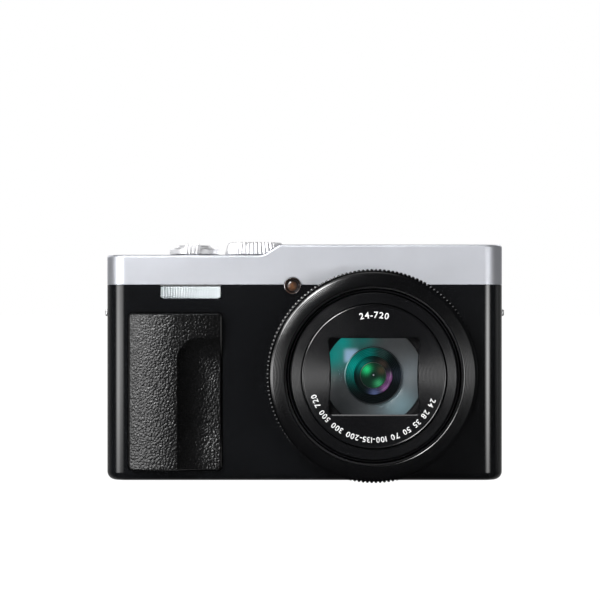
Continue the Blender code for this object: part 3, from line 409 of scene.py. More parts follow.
def leather(name):
    """Moulded rubber with a leather grain; the pebbles are in the mesh, the pores are in the bump, and the
    creases are darkened with painted shade.
    """
    nodes = Finish(name)
    warp = nodes.node("ShaderNodeTexNoise", {"Scale": 1.0 / (1.6 * MM), "Vector": nodes.place()})
    moved = nodes.node("ShaderNodeMix", data_type="VECTOR")
    for key, value in ((0, 0.0008), (4, nodes.place()), (5, warp.outputs["Color"])):
        nodes.feed(moved.inputs[key], value)
    cells = nodes.node("ShaderNodeTexVoronoi", feature="DISTANCE_TO_EDGE")
    nodes.feed(cells.inputs["Scale"], 1.0 / (0.75 * MM))
    nodes.feed(cells.inputs["Vector"], moved.outputs[1])
    crease = nodes.span(cells.outputs["Distance"], 0.0, 1.0, 0.0, 0.25)
    pores = nodes.noise(0.18 * MM, 3.0, 0.7)
    body = nodes.cloud(9 * MM, 3.0, (0.0035, 0.0035, 0.0038), (0.0055, 0.0055, 0.0060))
    # Painted shade: the base colour is darker in the creases between the pebbles.
    nodes.put(Base_Color=nodes.mix(crease, (0.002, 0.002, 0.0022), body),
              Normal=nodes.bump(crease, 0.03 * MM, 0.8, Normal=nodes.bump(pores, 0.008 * MM)),
              Roughness=nodes.span(pores, 0.24, 0.33), Specular_IOR_Level=0.62)
    return nodes.material


def brushed(name, colour, roughness=0.28, stretch=(1.0, 1.0, 12.0), wear=0.3):
    """Metal with fine lines along one direction."""
    nodes = Finish(name)
    lines = nodes.noise(0.25 * MM, 3.0, 0.6, stretch)
    body = nodes.cloud(6 * MM, 2.0, scaled(colour, 0.82), colour)
    worn = nodes.math("MULTIPLY", nodes.edges(), wear)
    nodes.put(Base_Color=nodes.mix(worn, body, (0.9, 0.9, 0.92)), Normal=nodes.bump(lines, 0.004 * MM),
              Roughness=nodes.span(lines, roughness - 0.08, roughness + 0.1), Metallic=1.0)
    return nodes.material


def clear_pane(name, tint=(0.9, 0.95, 1.0), mirror=0.06, roughness=0.02):
    """Clear glass or plastic: mostly seen through, with a tinted reflection that grows towards the rim."""
    nodes = Finish(name)
    nodes.tree.nodes.remove(nodes.shader)
    through = nodes.node("ShaderNodeBsdfTransparent", {"Color": (0.97, 0.98, 0.98)})
    smear = nodes.span(nodes.noise(7 * MM, 3.0), roughness, roughness + 0.04)
    shine = nodes.node("ShaderNodeBsdfGlossy", {"Color": tint, "Roughness": smear})
    facing = nodes.node("ShaderNodeLayerWeight", {"Blend": 0.25}).outputs["Facing"]
    nodes.surface(nodes.span(facing, mirror, min(1.0, mirror * 8), 0.0, 1.0), through, shine)
    return nodes.material


def glass_with_painted_reflections(name, base, painted_light_spots, rings=0.0, pitch=0.5 * MM, shine=0.4):
    """A coated lens face: soft patches of painted reflection and painted shade over a dark base, under a clear
    coat, with faint circles of painted shade from turned ridges.

    Each spot is (x, z, width, colour), placed from the lens axis in millimetres; a fifth item makes it squarer.
    """
    nodes = Finish(name)
    split = nodes.node("ShaderNodeSeparateXYZ", {0: nodes.place()})
    across = nodes.math("SUBTRACT", split.outputs["X"], LENS[0])
    upward = nodes.math("SUBTRACT", split.outputs["Z"], LENS[1])
    colour = nodes.cloud(4 * MM, 2.0, scaled(base, 0.85), base)
    for x, z, width, tint, *squareness in painted_light_spots:
        power = 2.0 + 6.0 * sum(squareness)
        parts = []
        for place, middle in ((across, x), (upward, z)):
            offset = nodes.math("ABSOLUTE", nodes.math("SUBTRACT", place, middle * MM))
            parts.append(nodes.math("POWER", nodes.math("DIVIDE", offset, width * MM), power))
        share = nodes.math("EXPONENT", nodes.math("MULTIPLY", nodes.math("ADD", *parts), -1.0))
        colour = nodes.mix(share, colour, tint)
    # Circles of painted shade, darker and lighter in turn, standing in for the shading of turned ridges.
    if rings:
        squares = [nodes.math("MULTIPLY", place, place) for place in (across, upward)]
        distance = nodes.math("SQRT", nodes.math("ADD", *squares))
        wave = nodes.math("SINE", nodes.math("MULTIPLY", distance, FULL_TURN / pitch))
        shade = nodes.span(wave, 1.0 - rings, 1.0, -1.0, 1.0)
        colour = nodes.node("ShaderNodeVectorMath", {0: colour, "Scale": shade}, operation="SCALE").outputs[0]
    # The colour is also emitted, so the painted reflections and highlights glow on their own.
    nodes.put(Base_Color=colour, Emission_Color=colour, Emission_Strength=0.8, Roughness=0.35,
              Coat_Weight=shine, Coat_Roughness=0.05, Specular_IOR_Level=0.1)
    return nodes.material


BLACK_PAINT = finish("black_body_paint", (0.0037, 0.0040, 0.0047), 0.135, depth=0.0004 * MM, specular=0.5,
                     wear=0.08, uneven=0.01)
SILVER_PAINT = finish("silver_cover_paint", (0.625, 0.64, 0.685), 0.50, metallic=1.0, grain=0.10 * MM,
                      depth=0.004 * MM, mottle=0.035, wear=0.2)
SILVER_PARTS = finish("silver_control_metal", (0.92, 0.92, 0.94), 0.44, metallic=1.0, grain=0.06 * MM,
                      depth=0.001 * MM, mottle=0.03, wear=0.1, uneven=0.02)
BLACK_PLASTIC = finish("black_moulded_plastic", (0.008, 0.008, 0.009), 0.42, wear=0.2)
LENS_BLACK = finish("lens_black_anodised", (0.0032, 0.0033, 0.0040), 0.20, depth=0.0005 * MM, specular=0.6,
                    wear=0.05, uneven=0.015)
RING_BLACK = finish("ring_black_anodised", (0.0012, 0.0013, 0.0017), 0.20, depth=0.0005 * MM, specular=0.6,
                    wear=0.1, uneven=0.015)
INNER_BLACK = finish("inner_flock_black", (0.0025, 0.0025, 0.003), 0.7, depth=0.01 * MM, specular=0.15, wear=0.0)
BUTTON_BLACK = finish("rear_button_plastic", (0.014, 0.014, 0.015), 0.33, wear=0.3, specular=0.6)
GRIP = leather("grip_leather_rubber")
STEEL = brushed("bright_steel", (0.72, 0.72, 0.73))
DARK_STEEL = brushed("dark_blade_steel", (0.055, 0.055, 0.06), 0.35, (12.0, 1.0, 1.0), 0.6)
BEZEL_STEEL = brushed("lamp_bezel_steel", (0.50, 0.50, 0.52), 0.16, (1.0, 12.0, 1.0), 0.1)
WHITE_PRINT = finish("white_print", (0.80, 0.80, 0.80), 0.5, depth=0.0005 * MM, mottle=0.03, wear=0.0)
GREY_PRINT = finish("grey_print", (0.30, 0.30, 0.31), 0.5, depth=0.0005 * MM, mottle=0.05, wear=0.0)
PANE = clear_pane("clear_pane")


# ---------------------------------------------------------------- body shells

def body_block():
    outline = rounded_rectangle((-SIDE_X, FRONT_Y), (SIDE_X, REAR_Y), CORNER_RADIUS, 16)
    shape = prism(outline, 0.0, SEAM_Z - SEAM_GAP, "Z")
    bevel(shape, edges_where(shape, lambda place: place.z < 0.1 * MM), BOTTOM_ROUND, 7)
    return shape


def lens_hole():
    return cylinder("Y", LENS, 26.1 * MM, FRONT_Y - MM, FRONT_Y + 6 * MM, FINE_STEPS)


def lamp_hole():
    centre, radius, _, _ = round_room("focus_lamp_bezel")
    return cylinder("Y", centre, radius + 0.15 * MM, FRONT_Y - MM, FRONT_Y + 4 * MM)


def strap_hollow(side):
    """The shallow recess a strap lug stands in, with the slot its root goes through."""
    low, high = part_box(LUGS[side])
    middle = (low.z + high.z) / 2
    face = side * SIDE_X
    outline = rounded_rectangle((-4.4 * MM, middle - 4.75 * MM), (4.4 * MM, middle + 4.55 * MM), 1.6 * MM)
    start, end = sorted((face - side * 5 * MM, face))
    return (prism(outline, face - side * 1.6 * MM, face + side * MM, "X"),
            box((start, low.y - GAP, low.z - 0.15 * MM), (end, high.y + GAP, high.z + 0.15 * MM)))


def shared_holes():
    """The battery door's opening and the strap hollows, which both cases have a part of."""
    low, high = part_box("battery_door")
    door = box((low.x - DOOR_GAP, low.y - DOOR_GAP, -MM), (high.x + DOOR_GAP, high.y + DOOR_GAP, WALL + MM))
    return [door, *strap_hollow(-1), *strap_hollow(1)]


def screw_hole(node):
    centre, radius, _, _ = round_room(node, "Z")
    profile = [(0.0, -MM), *near(radius, 0.0, (0.75, -1.0), (0.15, 0.5), (0.15, 3.0)), (0, 3 * MM)]
    return turned(profile, "Z", centre, 40)


def front_case():
    shape = body_block()
    trim(shape, (0, PART_FRONT_Y + 0.1 * MM, 0), (0, 1, 0))
    x, y = SIDE_X - SIDE_WALL, FRONT_Y + WALL
    hollow = [(-x, 2 * MM), (-x, y + 2 * MM), (-x + 2 * MM, y), (x - 2 * MM, y), (x, y + 2 * MM), (x, 2 * MM)]
    pad_low, pad_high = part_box("grip_pad")
    flash_low, flash_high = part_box("flash_window")
    flash_high.z += 1.8 * MM
    cuts = [prism(hollow, WALL, DECK_Z, "Z"),
            plate(pad_low, pad_high, GAP, 1.5 * MM, FRONT_Y - MM, pad_high.y + GAP),
            plate(flash_low, flash_high, 0.2 * MM, 0.8 * MM, FRONT_Y - MM, FRONT_Y + 4 * MM),
            lens_hole(), lamp_hole(), *shared_holes(), *[screw_hole(node) for node in BASE_SCREWS]]
    add("front_case_shell", shape, ROOT, BLACK_PAINT, "front_case", cuts=cuts)


def rear_case():
    shape = body_block()
    trim(shape, (0, PART_REAR_Y - 0.05 * MM, 0), (0, -1, 0))
    x, y = SIDE_X - SIDE_WALL, REAR_Y - WALL
    outside = REAR_Y + MM
    low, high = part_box("monitor_back")
    floor = low.y - 1.8 * MM
    side = low.x - 0.35 * MM
    hollow = [(-x, -3 * MM), (x, -3 * MM), (x, floor - WALL), (side - WALL, floor - WALL), (side - WALL, y),
              (-x + 2 * MM, y), (-x, y - 2 * MM)]
    recess = rounded_rectangle((side, low.z - 0.5 * MM), (high.x + 0.35 * MM, SEAM_Z + 6 * MM), 2.2 * MM)
    pin, _, pin_start, pin_end = round_room("monitor_hinge_pin", "X")
    thumb_low, thumb_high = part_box("thumb_rest")
    wheel = round_room("control_dial")[1]
    dial_hole = [(0.0, y - MM), *near(wheel, y, (0.25, -1.0)), *near(wheel, REAR_Y, (0.25, -0.3), (1.1, 1.0)),
                 (0.0, outside)]
    cover_low, cover_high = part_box("port_cover")
    socket, socket_radius, _, _ = round_room("tripod_socket", "Z")
    cuts = [prism(hollow, WALL, DECK_Z, "Z"), prism(recess, floor, outside, "Y"),
            cylinder("X", pin, 0.7 * MM, pin_start - GAP, pin_end + GAP, 24),
            plate(thumb_low, thumb_high, 0.2 * MM, 2.9 * MM, thumb_low.y - 0.2 * MM, outside),
            turned(dial_hole, "Y", REAR_DIAL, 96),
            *[cylinder("Y", round_room(node)[0], 2.5 * MM, y - MM, outside) for node in REAR_BUTTON_MARK_SIDES],
            plate(cover_low, cover_high, 0.2 * MM, 0.4 * MM, -SIDE_X - MM, -x + MM, "X"),
            cylinder("Z", socket, socket_radius + 0.15 * MM, -MM, WALL + MM), *shared_holes(),
            *[cylinder("Y", ((1.5 * hole - 49.5) * MM, 52.6 * MM), 0.4 * MM, REAR_Y - MM, outside, 12)
              for hole in range(5)]]
    add("rear_case_shell", shape, ROOT, BLACK_PAINT, "rear_case", cuts=cuts)


def smooth_max(first, second, blend):
    gap = max(blend - abs(first - second), 0.0) / blend
    return max(first, second) + gap * gap * blend / 4


def deck_rise(x, shift):
    """How far the deck stands above its low part: a ramp, soft at its foot and crisper at its top."""
    full = RAISED_Z - DECK_Z
    slope = (x - RAMP_X[0] - shift) / (RAMP_X[1] - RAMP_X[0]) * full
    rise = smooth_max(slope, 0.0, 0.9 * MM)
    return -smooth_max(-rise, -full, 0.6 * MM)


def deck_block(inset, low_z, drop, shift, slices):
    outline = rounded_rectangle((-SIDE_X + inset, FRONT_Y + inset), (SIDE_X - inset, REAR_Y - inset),
                                CORNER_RADIUS - inset, 16)
    shape = prism(outline, low_z, DECK_Z - drop, "Z")
    start = RAMP_X[0] + shift - 3 * MM
    end = RAMP_X[1] + shift + 2 * MM
    for step in range(slices + 1):
        everything = shape.verts[:] + shape.edges[:] + shape.faces[:]
        bmesh.ops.bisect_plane(shape, geom=everything, plane_no=(1, 0, 0),
                               plane_co=(start + (end - start) * step / slices, 0, 0))
    for corner in shape.verts:
        if corner.co.z > DECK_Z - drop - 0.1 * MM:
            corner.co.z += deck_rise(corner.co.x, shift)
    bmesh.ops.recalc_face_normals(shape, faces=shape.faces)
    return shape


def rim_edges(shape, upward):
    """The edges round the top of a block, or round its bottom when upward is -1."""
    chosen = []
    for edge in shape.edges:
        level = [face for face in edge.link_faces if face.normal.z * upward > 0.7]
        if len(level) == 1 and edge.calc_face_angle() > math.radians(60):
            chosen.append(edge)
    return chosen


def top_cover():
    shape = deck_block(0.0, SEAM_Z, 0.0, 0.0, 22)
    bevel(shape, rim_edges(shape, 1.0), TOP_ROUND, 6)
    bmesh.ops.recalc_face_normals(shape, faces=shape.faces)
    bevel(shape, rim_edges(shape, -1.0), 0.08 * MM, 2)
    dial = round_room("mode_dial", "Z")[1]
    floor = DECK_Z - 0.02 * MM
    pocket = [(0.0, floor), *near(dial, floor, (0.5, 0)),
              *near(dial, RAISED_Z, (0.55, -0.5), (1.1, 0.1), (2.0, 2.0)), (0.0, RAISED_Z + 2 * MM)]
    holes = [(DIAL, 2.8 * MM), (SHUTTER, 4.3 * MM)]
    for node in ("power_button", "movie_button"):
        centre, radius, _, _ = round_room(node, "Z")
        holes.append((centre, radius - 0.6 * MM))
    cuts = [deck_block(WALL, SEAM_Z - MM, WALL, 6 * MM, 8), turned(pocket, "Z", DIAL, 96),
            *[cylinder("Z", centre, radius, DECK_Z - WALL - MM, RAISED_Z + MM) for centre, radius in holes],
            *[cylinder("Z", ((middle + column * 1.6) * MM, 0.0), 0.45 * MM, RAISED_Z - MM, RAISED_Z + MM, 14)
              for middle in (8, 36) for column in (-1, 0, 1)],
            lens_hole(), lamp_hole()]
    add("top_cover_shell", shape, ROOT, SILVER_PAINT, "top_cover", cuts=cuts)


# ---------------------------------------------------------------- grip, flash, lamp and lugs

PAD_WALL_SHARE = 0.530
PAD_RECESS_TOP = 6.9 * MM
PAD_RECESS_RADIUS = 6.3 * MM
PAD_GRAIN = 0.15 * MM
PAD_PEAK = 4.7 * MM
PAD_LEFT_EDGE = 1.9 * MM
PAD_PEAK_SHARE = 0.95
PAD_RIGHT_EDGE = 2.9 * MM
PAD_SLOPE = 8.8 * MM


def step_between(value, low, high):
    share = min(max((value - low) / (high - low), 0.0), 1.0)
    return share * share * (3.0 - 2.0 * share)


def pad_height(x, z, low, high):
    """How far the pad stands out of the case's front: an arch, a steep slope, a finger recess to its right."""
    wall_x = low.x + (high.x - low.x) * PAD_WALL_SHARE
    peak_x = low.x + (wall_x - low.x) * PAD_PEAK_SHARE
    if x < peak_x:
        share = (peak_x - x) / (peak_x - low.x)
        crest = PAD_PEAK - (PAD_PEAK - PAD_LEFT_EDGE) * share ** 2
    else:
        share = (x - peak_x) / (high.x - peak_x)
        crest = PAD_PEAK - (PAD_PEAK - PAD_RIGHT_EDGE) * (0.25 * share + 0.75 * share ** 2)
    across = x - wall_x
    below = high.z - PAD_RECESS_TOP - z
    inside = min(across, below)
    if across < PAD_RECESS_RADIUS and below < PAD_RECESS_RADIUS:
        inside = PAD_RECESS_RADIUS - math.hypot(PAD_RECESS_RADIUS - across, PAD_RECESS_RADIUS - below)
    lower_end = 1.0 - step_between(z - low.z, 0.0, 14 * MM)
    floor = min((0.75 + 1.25 * lower_end) * MM, crest)
    share = min(max(inside / PAD_SLOPE, 0.0), 1.0)
    return floor + (crest - floor) * (1.0 - share) ** 2.2


def grain_height(x, z):
    """Leather pebbles: rounded cells with creases between them, from 0 in a crease to 1 on a pebble."""
    wander = noise.noise_vector(Vector((x, z, 0.0)) * (1.0 / (1.7 * MM)))
    place = Vector((x / (0.78 * MM), z / (0.78 * MM), 0.4)) + wander * 0.55
    distances = noise.voronoi(place)[0]
    crease = min((distances[1] - distances[0]) * 2.6, 1.0)
    fine = noise.noise(Vector((x, z, 3.0)) * (1.0 / (0.3 * MM))) * 0.12
    return math.sqrt(max(crease, 0.0)) + fine


def cushion(low, high, columns, rows, radius, square_top, face_y, outward, back_y, height_at):
    """A solid with a modelled face in the XZ plane and round corners, square at its top if asked.

    height_at(x, z, across, edge) is how far the face stands out, where across is the share of the width and
    edge the distance to the nearest edge.
    """
    shape = bmesh.new()
    grid = []
    for row in range(rows + 1):
        z = low.z + (high.z - low.z) * row / rows
        to_end = min(z - low.z, radius if square_top else high.z - z, radius)
        inset = radius - math.sqrt(radius ** 2 - (radius - to_end) ** 2)
        line = []
        for column in range(columns + 1):
            across = column / columns
            x = low.x + inset + (high.x - low.x - 2 * inset) * across
            edge = min(x - low.x - inset, high.x - inset - x, z - low.z, high.z - z)
            line.append(shape.verts.new((x, face_y + outward * height_at(x, z, across, edge), z)))
        grid.append(line)
    for lower, upper in zip(grid, grid[1:]):
        for column in range(columns):
            shape.faces.new((lower[column], lower[column + 1], upper[column + 1], upper[column]))
    return set_back(shape, shape.faces[:], "Y", level=back_y)


def grip_pad():
    low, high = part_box("grip_pad")
    root = 0.35 * MM

    def height_at(x, z, across, edge):
        height = pad_height(x, z, low, high)
        height += PAD_GRAIN * (grain_height(x, z) - 0.6) * step_between(edge, 0.1 * MM, 0.5 * MM)
        return -root + (height + root) * step_between(edge, -0.3 * MM, 0.45 * MM)

    shape = cushion(low, high, 170, 290, 1.2 * MM, False, FRONT_Y, -1.0, high.y, height_at)
    add("grip_pad_leather", shape, ROOT, GRIP, "grip_pad", 70, False)


def thumb_rest():
    low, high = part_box("thumb_rest")

    def height_at(x, z, across, edge):
        dish = 0.6 * MM * step_between(x, low.x + 3 * MM, high.x - 5 * MM)
        height = (high.y - REAR_Y) * step_between(edge, -0.3 * MM, 1.6 * MM)
        height -= (0.6 * MM - dish) * step_between(edge, 0, 3 * MM)
        return height + PAD_GRAIN * 0.8 * (grain_height(x, z) - 0.9) * step_between(edge, 0.2 * MM, 0.8 * MM)

    shape = cushion(low, high, 96, 44, 2.7 * MM, False, REAR_Y, 1.0, low.y, height_at)
    add("thumb_rest_pad", shape, ROOT, GRIP, "thumb_rest", 70, False)


def flash_unit():
    low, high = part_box("flash_window")

    def height_at(x, z, across, edge):
        strength = 0.03 * MM + 0.17 * MM * (1.0 - step_between(across, 0.10, 0.60))
        flute = abs(math.sin(math.pi * (x - low.x) / FLUTE_PITCH))
        height = strength * flute * step_between(edge, 0.1 * MM, 0.35 * MM)
        return height + 0.12 * MM * step_between(edge, 0.0, 0.5 * MM) - 0.2 * MM

    shape = cushion(low, high, 260, 16, 0.7 * MM, True, FRONT_Y, -1.0, high.y, height_at)
    nodes = Finish("flash_prism_plastic")
    x = nodes.node("ShaderNodeSeparateXYZ", {0: nodes.place()}).outputs["X"]
    share = nodes.span(x, 0.0, 1.0, low.x, high.x)
    shade = nodes.mix(share, (0.40, 0.44, 0.455), (0.62, 0.67, 0.69))
    cloud = nodes.noise(2.5 * MM, 3.0)
    shade = nodes.mix(nodes.span(cloud, 0.0, 0.25), shade, (0.68, 0.73, 0.75))
    # The dark lines are painted shade in the flutes, strongest at the left and fading out by the middle; the
    # colour under them runs from darker at the left to lighter at the right.
    wave = nodes.math("SINE", nodes.math("MULTIPLY", x, FULL_TURN / FLUTE_PITCH))
    line = nodes.math("MULTIPLY", nodes.span(wave, 0.0, 1.0, 0.2, 1.0), nodes.span(share, 0.95, 0.05, 0.0, 0.6))
    nodes.put(Base_Color=nodes.mix(line, shade, (0.10, 0.12, 0.13)), Roughness=nodes.span(cloud, 0.16, 0.26),
              Coat_Weight=0.5, Coat_Roughness=0.06)
    add("flash_window_prism", shape, ROOT, nodes.material, "flash_window", 50)


def focus_lamp():
    centre, outer, front, back = round_room("focus_lamp_bezel")
    inner = outer - 0.65 * MM
    profile = near(inner, front, (0, 0.95), (0.06, 0.7))
    profile += near(outer, front, (-0.28, 0.1), (-0.2, 0), (-0.08, 0.03), (0, 0.2))
    profile += [(outer, back), (inner, back)]
    add("focus_lamp_ring", turned(profile, "Y", centre, 64), ROOT, BEZEL_STEEL, "focus_lamp_bezel")
    _, _, front, back = round_room("focus_lamp_window")
    radius = inner - 0.05 * MM
    face = front + 0.45 * MM
    lens = dome(radius, face, face + 0.45 * MM, 8) + [(radius, back), (0.0, back)]
    nodes = Finish("focus_lamp_amber")
    # A painted glow: the lens's centre emits a soft, mottled amber light, fading to a dark rim.
    middle = (centre[0] - 0.15 * MM, face, centre[1] - 0.1 * MM)
    offset = nodes.node("ShaderNodeVectorMath", {0: nodes.place(), 1: middle}, operation="DISTANCE")
    glow = nodes.span(offset.outputs["Value"], 1.0, 0.0, 0.1 * MM, 1.5 * MM)
    mottled = nodes.math("MULTIPLY", glow, nodes.span(nodes.noise(0.6 * MM, 3.0), 0.35, 1.0))
    colour = nodes.mix(mottled, (0.013, 0.010, 0.009), (0.16, 0.065, 0.025))
    nodes.put(Base_Color=colour, Emission_Color=colour, Emission_Strength=0.5, Roughness=0.2, Coat_Weight=0.3,
              Coat_Roughness=0.05, Specular_IOR_Level=0.3)
    add("focus_lamp_lens", turned(lens, "Y", centre, 48), ROOT, nodes.material, "focus_lamp_window")


def strap_lugs():
    for side, node in LUGS.items():
        low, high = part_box(node)
        tip = high if side > 0 else low
        tip.x += side * LUG_STANDOUT
        start, end = sorted((tip.x - side * 0.75 * MM, tip.x - side * 2.2 * MM))
        outline = rounded_rectangle((start, -2.2 * MM), (end, 2.2 * MM), 0.6 * MM)
        add(node + "_bail", soften(box(low, high), 0.45 * MM, 4), ROOT, STEEL, node,
            cuts=[prism(outline, low.z - MM, high.z + MM, "Z")])


# ---------------------------------------------------------------- lens

def grooved(start, end, pitch, tilt, along):
    """Profile points from one radius to the other with fine rounded turned grooves, as steep as tilt degrees."""
    count = max(1, round(abs(end - start) / pitch))
    width = abs(end - start) / count
    depth = math.tan(math.radians(tilt)) * width / math.pi
    points = []
    for step in range(count * 6 + 1):
        share = step / 6
        cut = 0.5 - 0.5 * math.cos(FULL_TURN * share)
        points.append((start + (end - start) * share / count, along + depth * cut))
    return points


def dome(radius, apex, rim, steps=12):
    shares = [step / steps for step in range(steps + 1)]
    return [(radius * share, apex + (rim - apex) * share * share) for share in shares]


def control_ring():
    _, outer, front, back = round_room("control_ring")

    def tooth(share):
        return -0.5 * MM * max((abs(2.0 * share - 1.0) - 0.34) / 0.66, 0.0)

    profile = near(0.0, back, (28.0, 0, 0), (28.7, 0, 0), (28.9, -0.2, 0), (28.9, -1.0, 0))
    profile += near(outer, back, (-0.2, -1.15, 0.4), (0, -1.4, 1.0))
    profile += near(outer, front, (0, 1.05, 1.0), (-0.42, 0.86, 0.7), (-0.52, 1.1, 0))
    profile += near(0.0, front, (28.7, 1.3, 0), (28.0, 1.3, 0))
    knurl = fluted(profile, "Y", LENS, 156, 6, tooth)
    add("control_ring_knurl", knurl, "control_ring", RING_BLACK, "control_ring", 28)

    profile = near(0.0, back, (26.0, -0.3), (28.2, -0.3))
    profile += near(0.0, front, (28.2, 1.2), (28.58, 1.15), (28.60, 0.80), (28.48, 0.64), (27.94, 0.40),
                    (27.82, 0.36))
    inner = 24.9 * MM
    for radius, along in grooved(27.75 * MM, inner, 0.42 * MM, 14, front):
        outward = (radius - inner) / (2.85 * MM)
        profile.append((radius, along + 0.32 * MM * outward ** 2))
    profile += near(0.0, front, (24.75, 0.08), (24.62, 0.9), (24.32, 1.6), (26.0, 1.8))
    add_on_lens("control_ring_face", profile, RING_BLACK, "control_ring", "control_ring", 180)


def lens_base():
    _, collar, front, back = round_room("lens_base")
    rim = FRONT_Y - 1.15 * MM
    profile = near(0.0, front, (24.2, 0), (25.6, 0)) + near(0.0, rim, (25.6, 0), (28.0, 0))
    profile += near(collar, rim, (0, 0.5)) + near(collar, FRONT_Y, (0, -0.12))
    profile += near(0.0, FRONT_Y, (25.6, -0.12)) + near(0.0, back, (25.6, 0), (24.2, 0))
    add_on_lens("lens_base_collar", profile, BLACK_PLASTIC, "lens_base", ROOT)


def ribbed_tube(inner, outer, front, back, grip_start, grip_end):
    """A lens tube with fine light-baffle ribs round part of its outer wall."""
    points = [(inner, back), *near(inner, front, (0, 0.25), (0.15, 0)), *near(outer, front, (-0.2, 0), (0, 0.2))]
    count = int((grip_end - grip_start) / (0.5 * MM))
    for rib in range(count):
        along = grip_start + (grip_end - grip_start) * rib / count
        points += near(outer, along, (0, 0), (-0.05, 0.2), (0, 0.4))
    points.append((outer, back))
    return points


def barrels():
    _, radius, front, back = round_room("barrel_outer")
    tube = ribbed_tube(radius - 0.7 * MM, radius, front + 1.3 * MM, back, front + 3 * MM, front + 6 * MM)
    add_on_lens("barrel_outer_tube", tube, LENS_BLACK, "barrel_outer", "outer_barrel")

    _, radius, front, back = round_room("barrel_middle")
    profile = near(radius, back, (-0.7, 0)) + near(radius, front, (-0.7, 0.9))
    profile += near(0.0, front, (19.95, 0.9), (19.95, 0.2), (20.05, 0.06))
    profile += grooved(20.2 * MM, radius - 0.3 * MM, 0.34 * MM, 21, front + 0.03 * MM)
    profile += near(radius, front, (-0.12, 0.03), (0, 0.2)) + [(radius, back)]
    add_on_lens("barrel_middle_tube", profile, LENS_BLACK, "barrel_middle", "middle_barrel", 160)

    _, guide, front, back = round_room("barrel_front")
    radius = round_room("lens_front_plate")[1]
    foot = back - 1.5 * MM
    tube = ribbed_tube(radius - 0.65 * MM, radius, front, foot, front + 2 * MM, front + 5 * MM)
    tube = tube[1:] + [(guide, foot), (guide, back), (radius - 0.65 * MM, back)]
    add_on_lens("barrel_front_tube", tube, LENS_BLACK, "barrel_front")


def window_outline(half_width, half_height, radius):
    """The lens window: straight top and bottom, sides that bow inwards, small round corners."""
    bow = 0.7 * MM
    points = []
    for turn, (side, up) in enumerate(((1, 1), (-1, 1), (-1, -1), (1, -1))):
        centre = (side * (half_width - radius), up * (half_height - radius))
        points += arc(centre, radius, turn * QUARTER, (turn + 1) * QUARTER, 5)
        if side * up < 0:
            for step in range(1, 12):
                share = step / 12
                points.append((side * (half_width - bow * math.sin(math.pi * share)),
                               up * (half_height - radius) * (1.0 - 2.0 * share)))
    return [(LENS[0] + x, LENS[1] + z) for x, z in points]


def front_plate():
    _, radius, front, back = round_room("lens_front_plate")
    profile = [(0.0, front + 0.12 * MM)]
    profile += grooved(12.3 * MM, radius - 0.45 * MM, 0.36 * MM, 20, front + 0.12 * MM)
    profile += near(radius, front, (-0.35, 0.10), (-0.2, 0), (-0.06, 0.06), (0, 0.22))
    profile += [(radius, back), (0.0, back)]
    outline = window_outline(12.5 * MM, 10.45 * MM, 1.2 * MM)
    wide = window_outline(12.85 * MM, 10.8 * MM, 1.4 * MM)
    shape = bmesh.new()
    loops = [[shape.verts.new((x, along, z)) for x, z in points] for points, along in (
        (wide, front - 0.3 * MM), (wide, front + 0.12 * MM), (outline, front + 0.45 * MM), (outline, back + MM))]
    for first, second in zip(loops, loops[1:]):
        join_loops(shape, first, second)
    shape.faces.new(loops[0])
    shape.faces.new(loops[-1])
    bmesh.ops.recalc_face_normals(shape, faces=shape.faces)
    add_on_lens("lens_front_plate_disc", profile, LENS_BLACK, "lens_front_plate", steps=160, angle=30,
                cuts=[shape])


def glyph_shapes(text, size, bold):
    """One flat mesh for each character, in the XY plane and centred on its own width, with its advance."""
    shapes = []
    for character in text:
        if character == " ":
            shapes.append((None, size * 0.24))
            continue
        curve = bpy.data.curves.new("glyph", "FONT")
        curve.body = character
        curve.size = size
        curve.extrude = 0.015 * MM
        curve.offset = bold
        curve.resolution_u = 4
        thing = bpy.data.objects.new("glyph", curve)
        bpy.context.scene.collection.objects.link(thing)
        mesh = evaluated_mesh(thing)
        bpy.data.objects.remove(thing)
        bpy.data.curves.remove(curve)
        across = [vertex.co.x for vertex in mesh.vertices]
        middle = (min(across) + max(across)) / 2
        for vertex in mesh.vertices:
            vertex.co.x -= middle
        shapes.append((mesh, max(across) - min(across) + size * 0.13))
    return shapes


def arc_print(name, text, size, centre, radius, middle_angle, body, material, place, bold=0.0):
    """Characters set round an arc, tops outwards. place(u, v, out) turns a flat point into a world point."""
    shapes = glyph_shapes(text, size, bold)
    angle = middle_angle + sum(width for _, width in shapes) / radius / 2
    joined = bmesh.new()
    for mesh, width in shapes:
        angle -= width / radius / 2
        if mesh is not None:
            turn = angle - QUARTER
            base = radius - size * 0.36
            for vertex in mesh.vertices:
                x = vertex.co.x * math.cos(turn) - vertex.co.y * math.sin(turn)
                y = vertex.co.x * math.sin(turn) + vertex.co.y * math.cos(turn)
                vertex.co = place(centre[0] + base * math.cos(angle) + x,
                                  centre[1] + base * math.sin(angle) + y, vertex.co.z)
            joined.from_mesh(mesh)
            bpy.data.meshes.remove(mesh)
        angle -= width / radius / 2
    bmesh.ops.remove_doubles(joined, verts=joined.verts, dist=MERGE_DISTANCE)
    bmesh.ops.recalc_face_normals(joined, faces=joined.faces)
    add(name, joined, body, material)


def lens_print():
    face = round_room("lens_front_plate")[2] + 0.12 * MM

    def on_plate(x, z, out):
        return (x, face - 0.02 * MM - out, z)

    scale = "24  28  35  50  70  100-135-200  300  500  720"
    for name, text, size, radius, angle, bold in (("range", "24-720", 2.45, 16.9, 90, 0.04),
                                                  ("scale", scale, 2.15, 17.45, -92, 0.03)):
        arc_print("lens_print_" + name, text, size * MM, LENS, radius * MM, math.radians(angle), "front_barrel",
                  WHITE_PRINT, on_plate, bold * MM)


# The colour of a painted teal reflection of the lights in the lens coatings.
PAINTED_TEAL_REFLECTION = (0.004, 0.185, 0.165)


